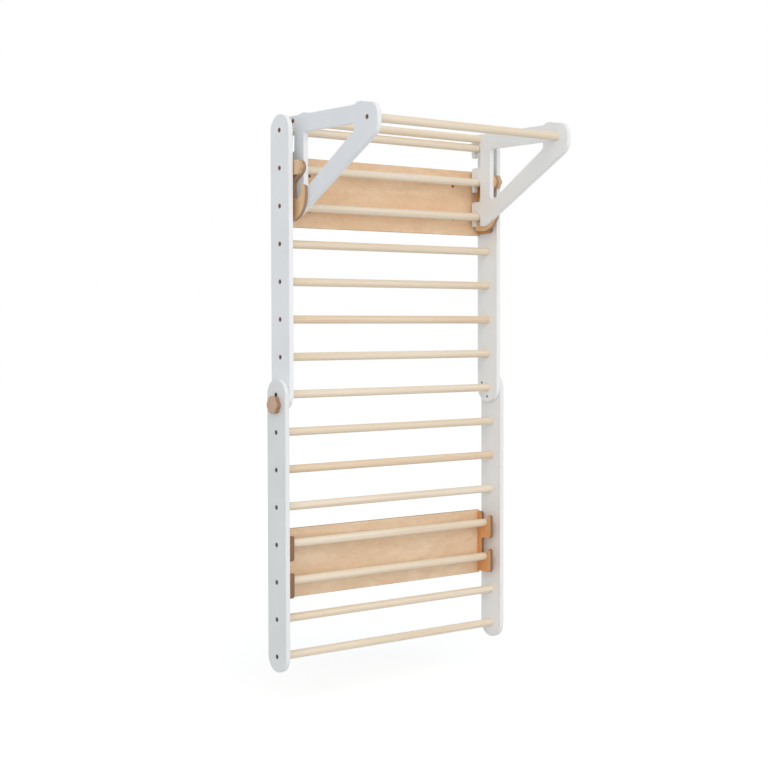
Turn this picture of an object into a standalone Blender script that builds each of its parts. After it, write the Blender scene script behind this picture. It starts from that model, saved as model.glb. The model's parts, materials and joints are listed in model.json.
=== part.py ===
"""Folding wall bars on two hook mounts, with a lift-off pull-up frame held by two hook latches.

Metres, +Z up. The origin is the middle of the upper board's back face, which lies on the wall.
The room is towards -Y, and +X is to the right for someone who faces the wall.
"""
import math

import bmesh
import bpy
from mathutils import Matrix, Vector

# Ladder
PITCH = 0.125  # from one rung axis to the next
UPPER_RUNG_COUNT = 8
LOWER_RUNG_COUNT = 7
RUNG_RADIUS = 0.014
CLEAR_WIDTH = 0.910  # between the upper stiles
STILE_THICKNESS = 0.018
STILE_DEPTH = 0.105
STILE_EDGE = 0.0015  # softened edge
FACE_EDGE = 0.002  # how far a cutter starts outside a face
SOCKET_DEPTH = 0.008

# Clearances
TOUCH = 0.0003  # between pieces that touch
WALL_GAP = 0.001  # from the stiles to the wall
HOOK_PLAY = 0.0012  # at each side of a rung in a hook
SIDE_PLAY = 0.001  # from a wall mount to the stiles

# Wall mounts
UPPER_MOUNT_RUNG = 1  # the higher of the two rungs that a mount carries
LOWER_MOUNT_RUNG = 11
BOARD_HEIGHT = 0.2345
BOARD_THICKNESS = 0.015
BOARD_DROP = 0.0107  # board's middle below the middle of its two rungs
CHEEK_THICKNESS = 0.012
CHEEK_TOP = 0.039  # above the upper rung's axis
LIP_DEPTH = 0.0175
LIP_TOP = 0.028  # above the rung's axis
HOOK_BOTTOM = 0.0575  # below the rung's axis
WALL_SCREW_INSET = 0.132  # from the board's ends
WALL_SCREW_SPACING_Z = 0.118

# Fold
LOCK_RADIUS = 0.033  # from the fold axis to the lock holes
FOLD_ANGLE = math.radians(120)
FOLD_KNOB_RADIUS = 0.030
FOLD_KNOB_THICKNESS = 0.018
PIVOT_BOLT_RADIUS = 0.004
PIVOT_HEAD_RADIUS = 0.007
PIVOT_HEAD_HEIGHT = 0.004
PIVOT_SOCKET_RADIUS = 0.0035
PIVOT_SOCKET_DEPTH = 0.0025
PIVOT_BOLT_DEPTH = 0.030  # into the rung

# Pull-up frame
BRACKET_THICKNESS = 0.018
BRACKET_INSET = 0.031  # from a bracket to the plank, for the latch and its knob
BRACKET_HOOKS = 3
MEMBER_WIDTH = 0.0538  # the upright
BAR_REACH = 0.408  # front bar's axis in front of the rungs
BAR_RISE = 0.005  # front bar's axis above the top rung
TOP_RISE = 0.050  # bracket's top edge above the top rung
TOP_MEMBER = 0.057
DIAGONAL_WIDTH = 0.054  # at its foot
DIAGONAL_SPREAD = 0.014  # wider at the head
TOE_REACH = 0.0356  # foot of the diagonal in front of the rungs
FINGER_THICKNESS = 0.0158
FINGER_DROP = 0.0345  # below the rung's axis
BLOCK_RISE = 0.055  # above the rung's axis
REAR_HUMP_RISE = 0.005
REAR_HUMP_START = 0.040  # in front of the rungs
REAR_HUMP_END = 0.092
HUMP_SLOPE = 0.015  # length of a hump's slope
FRONT_HUMP_RISE = 0.008
FRONT_HUMP_END = 0.027  # behind the front bar's axis
HEAD_LENGTH = 0.067  # from the window to the front bar's axis
HEAD_REACH = 0.052  # in front of the front bar's axis
HEAD_STEP = 0.005  # of the head above the top edge
HEAD_STEP_SLOPE = 0.007
HEAD_FALL = 0.010  # of the head's top towards its front
HEAD_DROP = 0.046  # head's lower corner below the front bar's axis
HEAD_ROUND = 0.041
HEAD_LOW_ROUND = 0.050
FOOT_ROUND = 0.060
WINDOW_LOW_ROUND = 0.016
CROSS_BAR_FORWARD = 0.009
CROSS_BAR_RISE = 0.033

# Latch
LATCH_THICKNESS = 0.012
LATCH_PIVOT_FORWARD = 0.060  # in front of the rungs, level with the second rung
LATCH_HUB_RADIUS = 0.024
LATCH_REACH = 0.092  # front of the horn, in front of the rungs
LATCH_BOTTOM = 0.055  # below the rung that it holds
LATCH_SWEEP = 0.083  # radius of the horn's back
LATCH_PLAY = 0.0008
JAW_REACH = 0.034  # behind the rung's axis
JAW_RISE = 0.006  # of the jaw's tip above the latch's lowest point
LIP_REACH = 0.014  # of the lip above the rung
SHANK_FRONT = 0.029  # in front of the rungs
SHANK_BACK = 0.010
NOTCH_FLOOR = 0.012  # between shank and horn, above the rung's axis
HORN_TOP = 0.068
HORN_WIDTH = 0.022
LATCH_KNOB_RADIUS = 0.0265
LATCH_KNOB_THICKNESS = 0.015

# Fasteners
SCREW_RADIUS = 0.0025
SCREW_HEAD_RADIUS = 0.006
SCREW_HEAD_DEPTH = 0.0035
SCREW_RECESS = 0.0008  # head below the face
SCREW_BITE = 0.003  # shared with the piece that a screw is one with
BOARD_SCREW_EDGE = 0.030  # from the board's top and bottom
BOARD_SCREW_HEAD_RADIUS = 0.0038
WALL_SCREW_RADIUS = 0.003
WALL_SCREW_HEAD_RADIUS = 0.006
STUD_RADIUS = 0.003
INSERT_WALL = 0.002
INSERT_LENGTH = 0.013
STUD_BORE_DEPTH = 0.011  # in the knob

# Smoothness
ARC_ERROR = 0.0004  # between an arc and its chords
RUNG_SIDES = 16
SCREW_SIDES = 8
PIVOT_SIDES = 12
LOBES = 6
LOBE_STEPS = 4
LOBE_DEPTH = 0.12  # share of the knob's radius

# Worked out from the above
STILE_RADIUS = STILE_DEPTH / 2
RUNG_Y = -(WALL_GAP + STILE_RADIUS)
UPPER_INNER_X = CLEAR_WIDTH / 2
UPPER_OUTER_X = UPPER_INNER_X + STILE_THICKNESS
LOWER_INNER_X = UPPER_OUTER_X + TOUCH
LOWER_OUTER_X = LOWER_INNER_X + STILE_THICKNESS
FOLD_RUNG = UPPER_RUNG_COUNT - 1
LAST_RUNG = UPPER_RUNG_COUNT + LOWER_RUNG_COUNT - 1
SLOT_HALF = RUNG_RADIUS + HOOK_PLAY
BOARD_FRONT = -RUNG_Y - BOARD_THICKNESS  # behind the rungs
BOARD_HALF_WIDTH = UPPER_INNER_X - SIDE_PLAY
CHEEK_INNER_X = BOARD_HALF_WIDTH - CHEEK_THICKNESS
WINDOW_FRONT = BAR_REACH - HEAD_LENGTH
BRACKET_OUTER_X = UPPER_INNER_X - BRACKET_INSET
BRACKET_INNER_X = BRACKET_OUTER_X - BRACKET_THICKNESS
LATCH_INNER_X = BRACKET_OUTER_X + TOUCH
LATCH_OUTER_X = LATCH_INNER_X + LATCH_THICKNESS
LATCH_KNOB_X = LATCH_OUTER_X + TOUCH
FOLD_KNOB_X = LOWER_OUTER_X + TOUCH
LATCH_RUNG = BRACKET_HOOKS - 1
INSERT_RADIUS = STUD_RADIUS + TOUCH + INSERT_WALL
SIDES = (("left", -1), ("right", 1))


def rung_z(index):
    """Height of a rung's axis; rung 0 is the top one."""
    return BOARD_DROP + PITCH / 2 + (UPPER_MOUNT_RUNG - index) * PITCH


def lock_hole(angle):
    """Place of a lock hole round the fold axis, with the angle turned from straight down."""
    return RUNG_Y + LOCK_RADIUS * math.sin(angle), rung_z(FOLD_RUNG) - LOCK_RADIUS * math.cos(angle)


# Scene and materials

def clear_scene():
    """Remove every object that the file opened with."""
    for item in list(bpy.data.objects):
        bpy.data.objects.remove(item, do_unlink=True)


def make_material(name, colour, roughness, metallic=0.0):
    """A plain Principled material."""
    material = bpy.data.materials.new(name)
    material.use_nodes = True
    shader = material.node_tree.nodes["Principled BSDF"]
    shader.inputs["Base Color"].default_value = (*colour, 1.0)
    shader.inputs["Roughness"].default_value = roughness
    shader.inputs["Metallic"].default_value = metallic
    material.diffuse_color = (*colour, 1.0)
    return material


def make_materials():
    """Every finish on the wall bars."""
    return {
        "white_paint": make_material("white_paint", (0.78, 0.79, 0.79), 0.45),
        "rung_birch": make_material("rung_birch", (0.80, 0.66, 0.48), 0.50),
        "board_birch": make_material("board_birch", (0.66, 0.44, 0.26), 0.50),
        "hook_birch": make_material("hook_birch", (0.52, 0.28, 0.12), 0.50),
        "zinc": make_material("zinc", (0.60, 0.60, 0.58), 0.35, 1.0),
        "bronze_screw": make_material("bronze_screw", (0.16, 0.08, 0.05), 0.45, 0.8),
    }


# Outlines, as (along Y, along Z) points

def corner_angle(corners, index):
    """Directions to the corners before and after, and half the angle between them."""
    here = Vector(corners[index][:2])
    before = Vector(corners[index - 1][:2]) - here
    after = Vector(corners[(index + 1) % len(corners)][:2]) - here
    return before, after, before.angle(after) / 2


def fitted_radii(corners):
    """Corner radii, made smaller where two arcs would share more than their edge."""
    radii = [corner[2] for corner in corners]
    tangents = []
    for index, radius in enumerate(radii):
        tangents.append(radius / math.tan(corner_angle(corners, index)[2]))
    for index in range(len(corners)):
        length = corner_angle(corners, index)[1].length
        following = (index + 1) % len(corners)
        wanted = tangents[index] + tangents[following]
        if wanted > length + 1e-9:
            radii[index] = min(radii[index], corners[index][2] * length / wanted)
            radii[following] = min(radii[following], corners[following][2] * length / wanted)
    return radii


def arc(centre, start, sweep):
    """Points from start round the centre through the signed angle sweep."""
    radius = (start - centre).length
    step = 2 * math.acos(1 - min(ARC_ERROR / radius, 0.5))
    count = max(2, math.ceil(abs(sweep) / step))
    points = []
    for number in range(count + 1):
        turn = sweep * number / count
        offset = start - centre
        turned_x = offset.x * math.cos(turn) - offset.y * math.sin(turn)
        turned_y = offset.x * math.sin(turn) + offset.y * math.cos(turn)
        points.append(Vector((centre.x + turned_x, centre.y + turned_y)))
    return points


def rounded_outline(corners):
    """Closed outline through corners given as (y, z, radius)."""
    radii = fitted_radii(corners)
    points = []
    for index, corner in enumerate(corners):
        here = Vector(corner[:2])
        before, after, half = corner_angle(corners, index)
        new_points = [here]
        if radii[index] > 0:
            middle = (before.normalized() + after.normalized()).normalized()
            centre = here + middle * radii[index] / math.sin(half)
            start = here + before.normalized() * radii[index] / math.tan(half)
            side = 1 if before.cross(after) < 0 else -1
            new_points = arc(centre, start, side * (math.pi - 2 * half))
        for point in new_points:
            if not points or (point - points[-1]).length > 1e-6:
                points.append(point)
    if (points[0] - points[-1]).length < 1e-6:
        points.pop()
    return points


def moved_outline(points, y, z):
    """The outline carried along by y and z."""
    return [Vector((point[0] + y, point[1] + z)) for point in points]


def lobed_outline(radius):
    """Round outline with finger hollows, for a knob."""
    points = []
    count = LOBES * LOBE_STEPS
    for number in range(count):
        angle = 2 * math.pi * number / count
        hollow = LOBE_DEPTH * (0.5 - 0.5 * math.cos(LOBES * angle)) ** 2
        reach = radius * (1 - hollow)
        points.append(Vector((reach * math.cos(angle), reach * math.sin(angle))))
    return points


# Solids

def finish_mesh(name, mesh_data, origin, material, smooth_angle=None):
    """Turn a bmesh into an object with its origin at the given place."""
    bmesh.ops.recalc_face_normals(mesh_data, faces=mesh_data.faces)
    mesh = bpy.data.meshes.new(name)
    mesh_data.to_mesh(mesh)
    mesh_data.free()
    if smooth_angle is not None:
        mesh.shade_smooth()
        mesh.set_sharp_from_angle(angle=smooth_angle)
    mesh.materials.append(material)
    item = bpy.data.objects.new(name, mesh)
    item.location = origin
    bpy.context.collection.objects.link(item)
    return item


def add_prism(mesh_data, outline, x_low, x_high, edge=0.0):
    """Extrude an outline from one X to another, with an optional softened rim on both faces."""
    ring = [mesh_data.verts.new((x_low, point[0], point[1])) for point in outline]
    face = mesh_data.faces.new(ring)
    grown = bmesh.ops.extrude_face_region(mesh_data, geom=[face])["geom"]
    far_verts = [item for item in grown if isinstance(item, bmesh.types.BMVert)]
    far_faces = [item for item in grown if isinstance(item, bmesh.types.BMFace)]
    bmesh.ops.translate(mesh_data, verts=far_verts, vec=(x_high - x_low, 0, 0))
    if edge > 0:
        rims = list(face.edges)
        for far_face in far_faces:
            rims.extend(far_face.edges)
        bmesh.ops.bevel(mesh_data, geom=rims, offset=edge, segments=1, affect="EDGES")


def add_turned(mesh_data, profile, centre, sides, facing=1, along="X", closed=False):
    """Turn a profile of (distance, radius) round an axis along X or Y; facing -1 mirrors it."""
    made = [mesh_data.verts.new((facing * distance, 0, radius)) for distance, radius in profile]
    pairs = list(zip(made, made[1:]))
    if closed:
        pairs.append((made[-1], made[0]))
    edges = [mesh_data.edges.new(pair) for pair in pairs]
    bmesh.ops.spin(mesh_data, geom=made + edges, cent=(0, 0, 0), axis=(1, 0, 0),
                   angle=2 * math.pi, steps=sides, use_merge=True)
    bmesh.ops.remove_doubles(mesh_data, verts=connected_verts(made), dist=1e-6)
    whole = connected_verts([vert for vert in made if vert.is_valid])
    if along == "Y":
        bmesh.ops.rotate(mesh_data, verts=whole, cent=(0, 0, 0), matrix=Matrix.Rotation(math.pi / 2, 3, "Z"))
    bmesh.ops.translate(mesh_data, verts=whole, vec=centre)


def connected_verts(seeds):
    """Every vertex that edges join to the seeds, with the seeds."""
    found = set(seeds)
    waiting = list(seeds)
    while waiting:
        vert = waiting.pop()
        for edge in vert.link_edges:
            other = edge.other_vert(vert)
            if other not in found:
                found.add(other)
                waiting.append(other)
    return list(found)


def cut(target, cutter_name, mesh_data):
    """Cut a bmesh out of a piece."""
    add_boolean(target, cutter_name, mesh_data, "DIFFERENCE")


def join(target, other_name, mesh_data):
    """Make a bmesh that overlaps a piece one with it."""
    add_boolean(target, other_name, mesh_data, "UNION")


def add_boolean(target, cutter_name, mesh_data, operation):
    """Boolean modifier whose other mesh stays hidden and moves with the piece."""
    bmesh.ops.recalc_face_normals(mesh_data, faces=mesh_data.faces)
    mesh = bpy.data.meshes.new(cutter_name)
    mesh_data.to_mesh(mesh)
    mesh_data.free()
    cutter = bpy.data.objects.new(cutter_name, mesh)
    bpy.context.collection.objects.link(cutter)
    cutter.hide_render = True
    cutter.display_type = "WIRE"
    cutter.parent = target
    modifier = target.modifiers.new(cutter_name, "BOOLEAN")
    modifier.operation = operation
    modifier.solver = "EXACT"
    modifier.object = cutter


# Ladder pieces

def stile_outline(top_rung, bottom_rung):
    """Plank with a half-round end about each end rung."""
    front = RUNG_Y - STILE_RADIUS
    back = RUNG_Y + STILE_RADIUS
    top = rung_z(top_rung) + STILE_RADIUS
    bottom = rung_z(bottom_rung) - STILE_RADIUS
    return rounded_outline([(front, bottom, STILE_RADIUS), (back, bottom, STILE_RADIUS),
                            (back, top, STILE_RADIUS), (front, top, STILE_RADIUS)])


def bore_profile(radius, low, high):
    """Plain round cutter from one distance to another."""
    return [(low, 0), (low, radius), (high, radius), (high, 0)]


def countersink_profile(radius, head_radius, depth):
    """Cutter from just outside a face at 0: a cone for a screw's head, then its bore down to a depth."""
    spread = (head_radius - radius) / SCREW_HEAD_DEPTH
    out = FACE_EDGE
    wide = head_radius + TOUCH + (SCREW_RECESS + out) * spread
    return [(out, 0), (out, wide), (-SCREW_RECESS - SCREW_HEAD_DEPTH, radius + TOUCH),
            (-depth, radius + TOUCH), (-depth, 0)]


def screw_profile(radius, head_radius, length):
    """Countersunk screw with its head at 0 and its tip at minus its length."""
    return [(0, 0), (0, head_radius), (-SCREW_HEAD_DEPTH, radius), (-length, radius), (-length, 0)]


def add_sockets(cutter, outer_x, thickness, side, places):
    """Sockets in the inner face of a side plate, as (y, z) places."""
    high = outer_x - thickness + SOCKET_DEPTH + TOUCH
    low = outer_x - thickness - FACE_EDGE
    for y, z in places:
        add_turned(cutter, bore_profile(RUNG_RADIUS + TOUCH, low, high), (0, y, z), RUNG_SIDES, side)


def add_screw_holes(cutter, outer_x, depth, side, places):
    """Countersunk holes in the outer face of a side plate, as (y, z) places."""
    profile = countersink_profile(SCREW_RADIUS, SCREW_HEAD_RADIUS, depth)
    for y, z in places:
        add_turned(cutter, profile, (side * outer_x, y, z), SCREW_SIDES, side)


def add_bores(cutter, radius, low, high, side, places):
    """Plain bores along X, as (y, z) places."""
    for y, z in places:
        add_turned(cutter, bore_profile(radius, low, high), (0, y, z), SCREW_SIDES, side)


def add_pivot_hole(cutter, side):
    """Bore and flat seat for the pivot bolt in a lower plank."""
    seat = LOWER_OUTER_X - SCREW_RECESS - PIVOT_HEAD_HEIGHT - TOUCH
    wide = PIVOT_HEAD_RADIUS + TOUCH
    narrow = PIVOT_BOLT_RADIUS + TOUCH
    high = LOWER_OUTER_X + FACE_EDGE
    low = LOWER_INNER_X - FACE_EDGE
    profile = [(high, 0), (high, wide), (seat, wide), (seat, narrow), (low, narrow), (low, 0)]
    add_turned(cutter, profile, (0, RUNG_Y, rung_z(FOLD_RUNG)), PIVOT_SIDES, side)


def make_upper_stile(word, side, material):
    """Inner plank with a socket for each upper rung and the lock holes of both fold positions."""
    solid = bmesh.new()
    ends = sorted((side * UPPER_INNER_X, side * UPPER_OUTER_X))
    add_prism(solid, stile_outline(0, FOLD_RUNG), ends[0], ends[1], STILE_EDGE)
    stile = finish_mesh("upper_stile_" + word, solid, (0, 0, 0), material)
    rungs = [(RUNG_Y, rung_z(index)) for index in range(FOLD_RUNG + 1)]
    sockets = bmesh.new()
    add_sockets(sockets, UPPER_OUTER_X, STILE_THICKNESS, side, rungs)
    cut(stile, "upper_sockets_" + word, sockets)
    holes = bmesh.new()
    low = UPPER_INNER_X - FACE_EDGE
    high = UPPER_OUTER_X + FACE_EDGE
    add_screw_holes(holes, UPPER_OUTER_X, STILE_THICKNESS, side, rungs[:-1])
    add_turned(holes, bore_profile(PIVOT_BOLT_RADIUS + TOUCH, low, high), (0, *rungs[-1]), PIVOT_SIDES, side)
    add_bores(holes, INSERT_RADIUS + TOUCH, low, high, side, [lock_hole(0), lock_hole(FOLD_ANGLE)])
    cut(stile, "upper_stile_holes_" + word, holes)
    return stile


def make_lower_stile(word, side, material):
    """Outer plank with the lower sockets, the pivot bore and the knob's hole."""
    solid = bmesh.new()
    ends = sorted((side * LOWER_INNER_X, side * LOWER_OUTER_X))
    add_prism(solid, stile_outline(FOLD_RUNG, LAST_RUNG), ends[0], ends[1], STILE_EDGE)
    stile = finish_mesh("lower_stile_" + word, solid, (0, 0, 0), material)
    rungs = [(RUNG_Y, rung_z(index)) for index in range(FOLD_RUNG + 1, LAST_RUNG + 1)]
    sockets = bmesh.new()
    add_sockets(sockets, LOWER_OUTER_X, STILE_THICKNESS, side, rungs)
    cut(stile, "lower_sockets_" + word, sockets)
    holes = bmesh.new()
    low = LOWER_INNER_X - FACE_EDGE
    high = LOWER_OUTER_X + FACE_EDGE
    add_screw_holes(holes, LOWER_OUTER_X, STILE_THICKNESS, side, rungs)
    add_pivot_hole(holes, side)
    add_bores(holes, STUD_RADIUS + TOUCH, low, high, side, [lock_hole(0)])
    cut(stile, "lower_stile_holes_" + word, holes)
    return stile


def make_dowel(name, half_length, outer_x, place, material):
    """Dowel in one with the countersunk screw that holds each end to its side plate."""
    solid = bmesh.new()
    add_turned(solid, bore_profile(RUNG_RADIUS, -half_length, half_length), (0, 0, 0), RUNG_SIDES)
    dowel = finish_mesh(name, solid, place, material, math.radians(40))
    head = outer_x - SCREW_RECESS
    screws = bmesh.new()
    for side in (-1, 1):
        add_turned(screws, screw_profile(SCREW_RADIUS, SCREW_HEAD_RADIUS, head - half_length + SCREW_BITE),
                   (side * head, 0, 0), SCREW_SIDES, side)
    join(dowel, name + "_screws", screws)
    return dowel


def make_rung(index, material):
    """Any rung but the one on the fold axis."""
    outer_x = UPPER_OUTER_X if index <= FOLD_RUNG else LOWER_OUTER_X
    return make_dowel("rung_%02d" % index, outer_x - STILE_THICKNESS + SOCKET_DEPTH, outer_x,
                      (0, RUNG_Y, rung_z(index)), material)


def make_fold_rung(material):
    """Dowel on the fold axis, with a bore in each end for its pivot bolt."""
    half_length = UPPER_INNER_X + SOCKET_DEPTH
    solid = bmesh.new()
    add_turned(solid, bore_profile(RUNG_RADIUS, -half_length, half_length), (0, 0, 0), RUNG_SIDES)
    place = (0, RUNG_Y, rung_z(FOLD_RUNG))
    rung = finish_mesh("rung_%02d" % FOLD_RUNG, solid, place, material, math.radians(40))
    bore_end = half_length - PIVOT_BOLT_DEPTH - TOUCH
    holes = bmesh.new()
    for side in (-1, 1):
        add_turned(holes, bore_profile(PIVOT_BOLT_RADIUS + TOUCH, bore_end, half_length + FACE_EDGE),
                   (0, 0, 0), PIVOT_SIDES, side)
    cut(rung, "pivot_bores", holes)
    return rung


def make_pivot_bolt(word, side, material):
    """Bolt with its head sunk in the lower plank, through the upper plank into the end of the fold rung."""
    head = LOWER_OUTER_X - SCREW_RECESS
    seat = head - PIVOT_HEAD_HEIGHT
    tip = UPPER_INNER_X + SOCKET_DEPTH - PIVOT_BOLT_DEPTH
    profile = [(head, 0), (head, PIVOT_HEAD_RADIUS), (seat, PIVOT_HEAD_RADIUS), (seat, PIVOT_BOLT_RADIUS),
               (tip, PIVOT_BOLT_RADIUS), (tip, 0)]
    solid = bmesh.new()
    add_turned(solid, profile, (0, 0, 0), PIVOT_SIDES, side)
    bolt = finish_mesh("pivot_bolt_" + word, solid, (0, RUNG_Y, rung_z(FOLD_RUNG)), material,
                       math.radians(40))
    socket = bmesh.new()
    add_turned(socket, bore_profile(PIVOT_SOCKET_RADIUS, head - PIVOT_SOCKET_DEPTH, head + FACE_EDGE),
               (0, 0, 0), 6, side)
    cut(bolt, "pivot_socket_" + word, socket)
    return bolt


def make_fold_insert(name, side, angle, material):
    """Threaded sleeve in a lock hole of an upper plank."""
    solid = bmesh.new()
    bore = STUD_RADIUS + TOUCH
    low = UPPER_INNER_X + TOUCH
    high = UPPER_OUTER_X - TOUCH
    profile = [(low, bore), (low, INSERT_RADIUS), (high, INSERT_RADIUS), (high, bore)]
    add_turned(solid, profile, (0, 0, 0), SCREW_SIDES, side, closed=True)
    hole_y, hole_z = lock_hole(angle)
    return finish_mesh(name, solid, (0, hole_y, hole_z), material, math.radians(40))


# Knobs

def make_knob(name, side, inner_x, radius, thickness, place, material):
    """Lobed plywood knob with a blind bore for its stud."""
    solid = bmesh.new()
    ends = sorted((side * inner_x, side * (inner_x + thickness)))
    add_prism(solid, lobed_outline(radius), ends[0], ends[1], STILE_EDGE)
    knob = finish_mesh(name, solid, place, material, math.radians(35))
    bore = bmesh.new()
    add_bores(bore, STUD_RADIUS + TOUCH, inner_x - FACE_EDGE, inner_x + STUD_BORE_DEPTH + TOUCH, side,
              [(0, 0)])
    cut(knob, name + "_bore", bore)
    return knob


def make_stud(name, side, tip_x, end_x, place, material):
    """Threaded stud, drawn plain."""
    solid = bmesh.new()
    add_bores(solid, STUD_RADIUS, tip_x, end_x, side, [(0, 0)])
    return finish_mesh(name, solid, place, material, math.radians(40))


# Wall mounts

def mount_z(upper_rung):
    """Height of a mount board's middle, from the higher of its two rungs."""
    return rung_z(upper_rung) - PITCH / 2 - BOARD_DROP


def cheek_outline(upper_rung):
    """Comb of two hooks, open upwards, on a spine against the board."""
    back = BOARD_FRONT - TOUCH
    lip = -SLOT_HALF - LIP_DEPTH
    seat = -RUNG_RADIUS - TOUCH
    corners = [(back, -PITCH - HOOK_BOTTOM, 0.003), (back, CHEEK_TOP, 0.003), (SLOT_HALF, CHEEK_TOP, 0.010)]
    for level in (0, -PITCH):
        corners += [(SLOT_HALF, level + seat, SLOT_HALF), (-SLOT_HALF, level + seat, SLOT_HALF),
                    (-SLOT_HALF, level + LIP_TOP, 0.006), (lip, level + LIP_TOP, 0.006),
                    (lip, level - HOOK_BOTTOM, 0.014)]
        if level == 0:
            corners += [(SLOT_HALF, -HOOK_BOTTOM, 0.008)]
    return moved_outline(rounded_outline(corners), RUNG_Y, rung_z(upper_rung))


def cheek_screw_heights(upper_rung):
    """Heights of the screws from the board into each cheek."""
    reach = BOARD_HEIGHT / 2 - BOARD_SCREW_EDGE
    return [mount_z(upper_rung) + reach * step for step in (-1, 1)]


def board_screw_places(upper_rung, side):
    """Places of the cheek screws on the back of the board."""
    middle_x = side * (CHEEK_INNER_X + CHEEK_THICKNESS / 2)
    return [Vector((middle_x, 0, height)) for height in cheek_screw_heights(upper_rung)]


def wall_screw_places(upper_rung):
    """Names and places of the wall screws on the front of the board."""
    places = {}
    reach = BOARD_HALF_WIDTH - WALL_SCREW_INSET
    for word, side in SIDES:
        for level, step in (("upper", 0.5), ("lower", -0.5)):
            places[level + "_" + word] = Vector((side * reach, -BOARD_THICKNESS,
                                                 mount_z(upper_rung) + step * WALL_SCREW_SPACING_Z))
    return places


def make_board(name, upper_rung, material):
    """Wall board with countersunk holes from the front for the wall and from the back for the cheeks."""
    solid = bmesh.new()
    bmesh.ops.create_cube(solid, size=1.0)
    size = Vector((2 * BOARD_HALF_WIDTH, BOARD_THICKNESS, BOARD_HEIGHT))
    bmesh.ops.scale(solid, verts=solid.verts, vec=size)
    bmesh.ops.translate(solid, verts=solid.verts, vec=(0, -BOARD_THICKNESS / 2, mount_z(upper_rung)))
    bmesh.ops.bevel(solid, geom=solid.edges[:], offset=STILE_EDGE, segments=1, affect="EDGES")
    board = finish_mesh(name, solid, (0, 0, 0), material)
    holes = bmesh.new()
    wall_hole = board_hole_profile(WALL_SCREW_RADIUS, WALL_SCREW_HEAD_RADIUS)
    for place in wall_screw_places(upper_rung).values():
        add_turned(holes, wall_hole, place, SCREW_SIDES, -1, along="Y")
    cheek_hole = board_hole_profile(SCREW_RADIUS, BOARD_SCREW_HEAD_RADIUS)
    for side in (-1, 1):
        for place in board_screw_places(upper_rung, side):
            add_turned(holes, cheek_hole, place, SCREW_SIDES, 1, along="Y")
    cut(board, name + "_holes", holes)
    return board


def board_hole_profile(radius, head_radius):
    """Cutter for a countersunk screw right through the board."""
    return countersink_profile(radius, head_radius, BOARD_THICKNESS + FACE_EDGE)


def make_cheek(name, upper_rung, side, material):
    """Hook comb at one end of a board, in one with the screws that hold it to the board."""
    solid = bmesh.new()
    ends = sorted((side * CHEEK_INNER_X, side * BOARD_HALF_WIDTH))
    add_prism(solid, cheek_outline(upper_rung), ends[0], ends[1])
    cheek = finish_mesh(name, solid, (0, 0, 0), material)
    screws = bmesh.new()
    length = BOARD_THICKNESS - SCREW_RECESS + TOUCH + SCREW_BITE
    for place in board_screw_places(upper_rung, side):
        add_turned(screws, screw_profile(SCREW_RADIUS, BOARD_SCREW_HEAD_RADIUS, length),
                   place - Vector((0, SCREW_RECESS, 0)), SCREW_SIDES, 1, along="Y")
    join(cheek, name + "_screws", screws)
    return cheek


def make_wall_screw(name, place, material):
    """Wall screw, as far as the wall's face."""
    solid = bmesh.new()
    length = BOARD_THICKNESS - SCREW_RECESS - TOUCH
    add_turned(solid, screw_profile(WALL_SCREW_RADIUS, WALL_SCREW_HEAD_RADIUS, length), (0, 0, 0),
               SCREW_SIDES, -1, along="Y")
    return finish_mesh(name, solid, place + Vector((0, SCREW_RECESS, 0)), material, math.radians(40))


def make_mount(prefix, upper_rung, materials):
    """A whole wall mount."""
    pieces = [make_board(prefix + "_mount_board", upper_rung, materials["board_birch"])]
    for word, side in SIDES:
        pieces.append(make_cheek(prefix + "_mount_cheek_" + word, upper_rung, side,
                                 materials["hook_birch"]))
    for words, place in wall_screw_places(upper_rung).items():
        pieces.append(make_wall_screw(prefix + "_wall_screw_" + words, place, materials["bronze_screw"]))
    return pieces


# Pull-up frame

def diagonal_slope():
    """Rise of the diagonal per length, from its foot to the head's lower corner."""
    return (BAR_RISE - HEAD_DROP - bracket_bottom()) / (BAR_REACH + HEAD_REACH - TOE_REACH)


def bracket_bottom():
    """Foot of the bracket, level with its lowest fingers, from the top rung."""
    return -LATCH_RUNG * PITCH - FINGER_DROP


def bracket_outline():
    """Triangle with a rounded head, and three hooks that open downwards over the rungs."""
    finger = SLOT_HALF + FINGER_THICKNESS
    seat = RUNG_RADIUS + TOUCH
    bottom = bracket_bottom()
    head_front = -BAR_REACH - HEAD_REACH
    head_top = TOP_RISE + HEAD_STEP
    hump_end = FRONT_HUMP_END - BAR_REACH
    hump_top = TOP_RISE + FRONT_HUMP_RISE
    rear_top = TOP_RISE + REAR_HUMP_RISE
    corners = [(-REAR_HUMP_START, TOP_RISE, 0.010), (-REAR_HUMP_START - HUMP_SLOPE, rear_top, 0.010),
               (HUMP_SLOPE - REAR_HUMP_END, rear_top, 0.010), (-REAR_HUMP_END, TOP_RISE, 0.010),
               (-WINDOW_FRONT, TOP_RISE, 0.012), (-WINDOW_FRONT - HUMP_SLOPE, hump_top, 0.012),
               (hump_end, hump_top, 0.008), (hump_end - HEAD_STEP_SLOPE, head_top, 0.008),
               (head_front, head_top - HEAD_FALL, HEAD_ROUND),
               (head_front, BAR_RISE - HEAD_DROP, HEAD_LOW_ROUND),
               (-TOE_REACH, bottom, FOOT_ROUND), (-SLOT_HALF, bottom, 0.004)]
    for number in reversed(range(BRACKET_HOOKS)):
        level = -number * PITCH
        corners += [(-SLOT_HALF, level + seat, SLOT_HALF), (SLOT_HALF, level + seat, SLOT_HALF),
                    (SLOT_HALF, level - FINGER_DROP, 0.007), (finger, level - FINGER_DROP, 0.007)]
        if number > 0:
            corners += [(finger, level + BLOCK_RISE, 0.010), (-SLOT_HALF, level + BLOCK_RISE, 0.006)]
    corners += [(finger, TOP_RISE, 0.014)]
    return moved_outline(rounded_outline(corners), RUNG_Y, rung_z(0))


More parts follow.
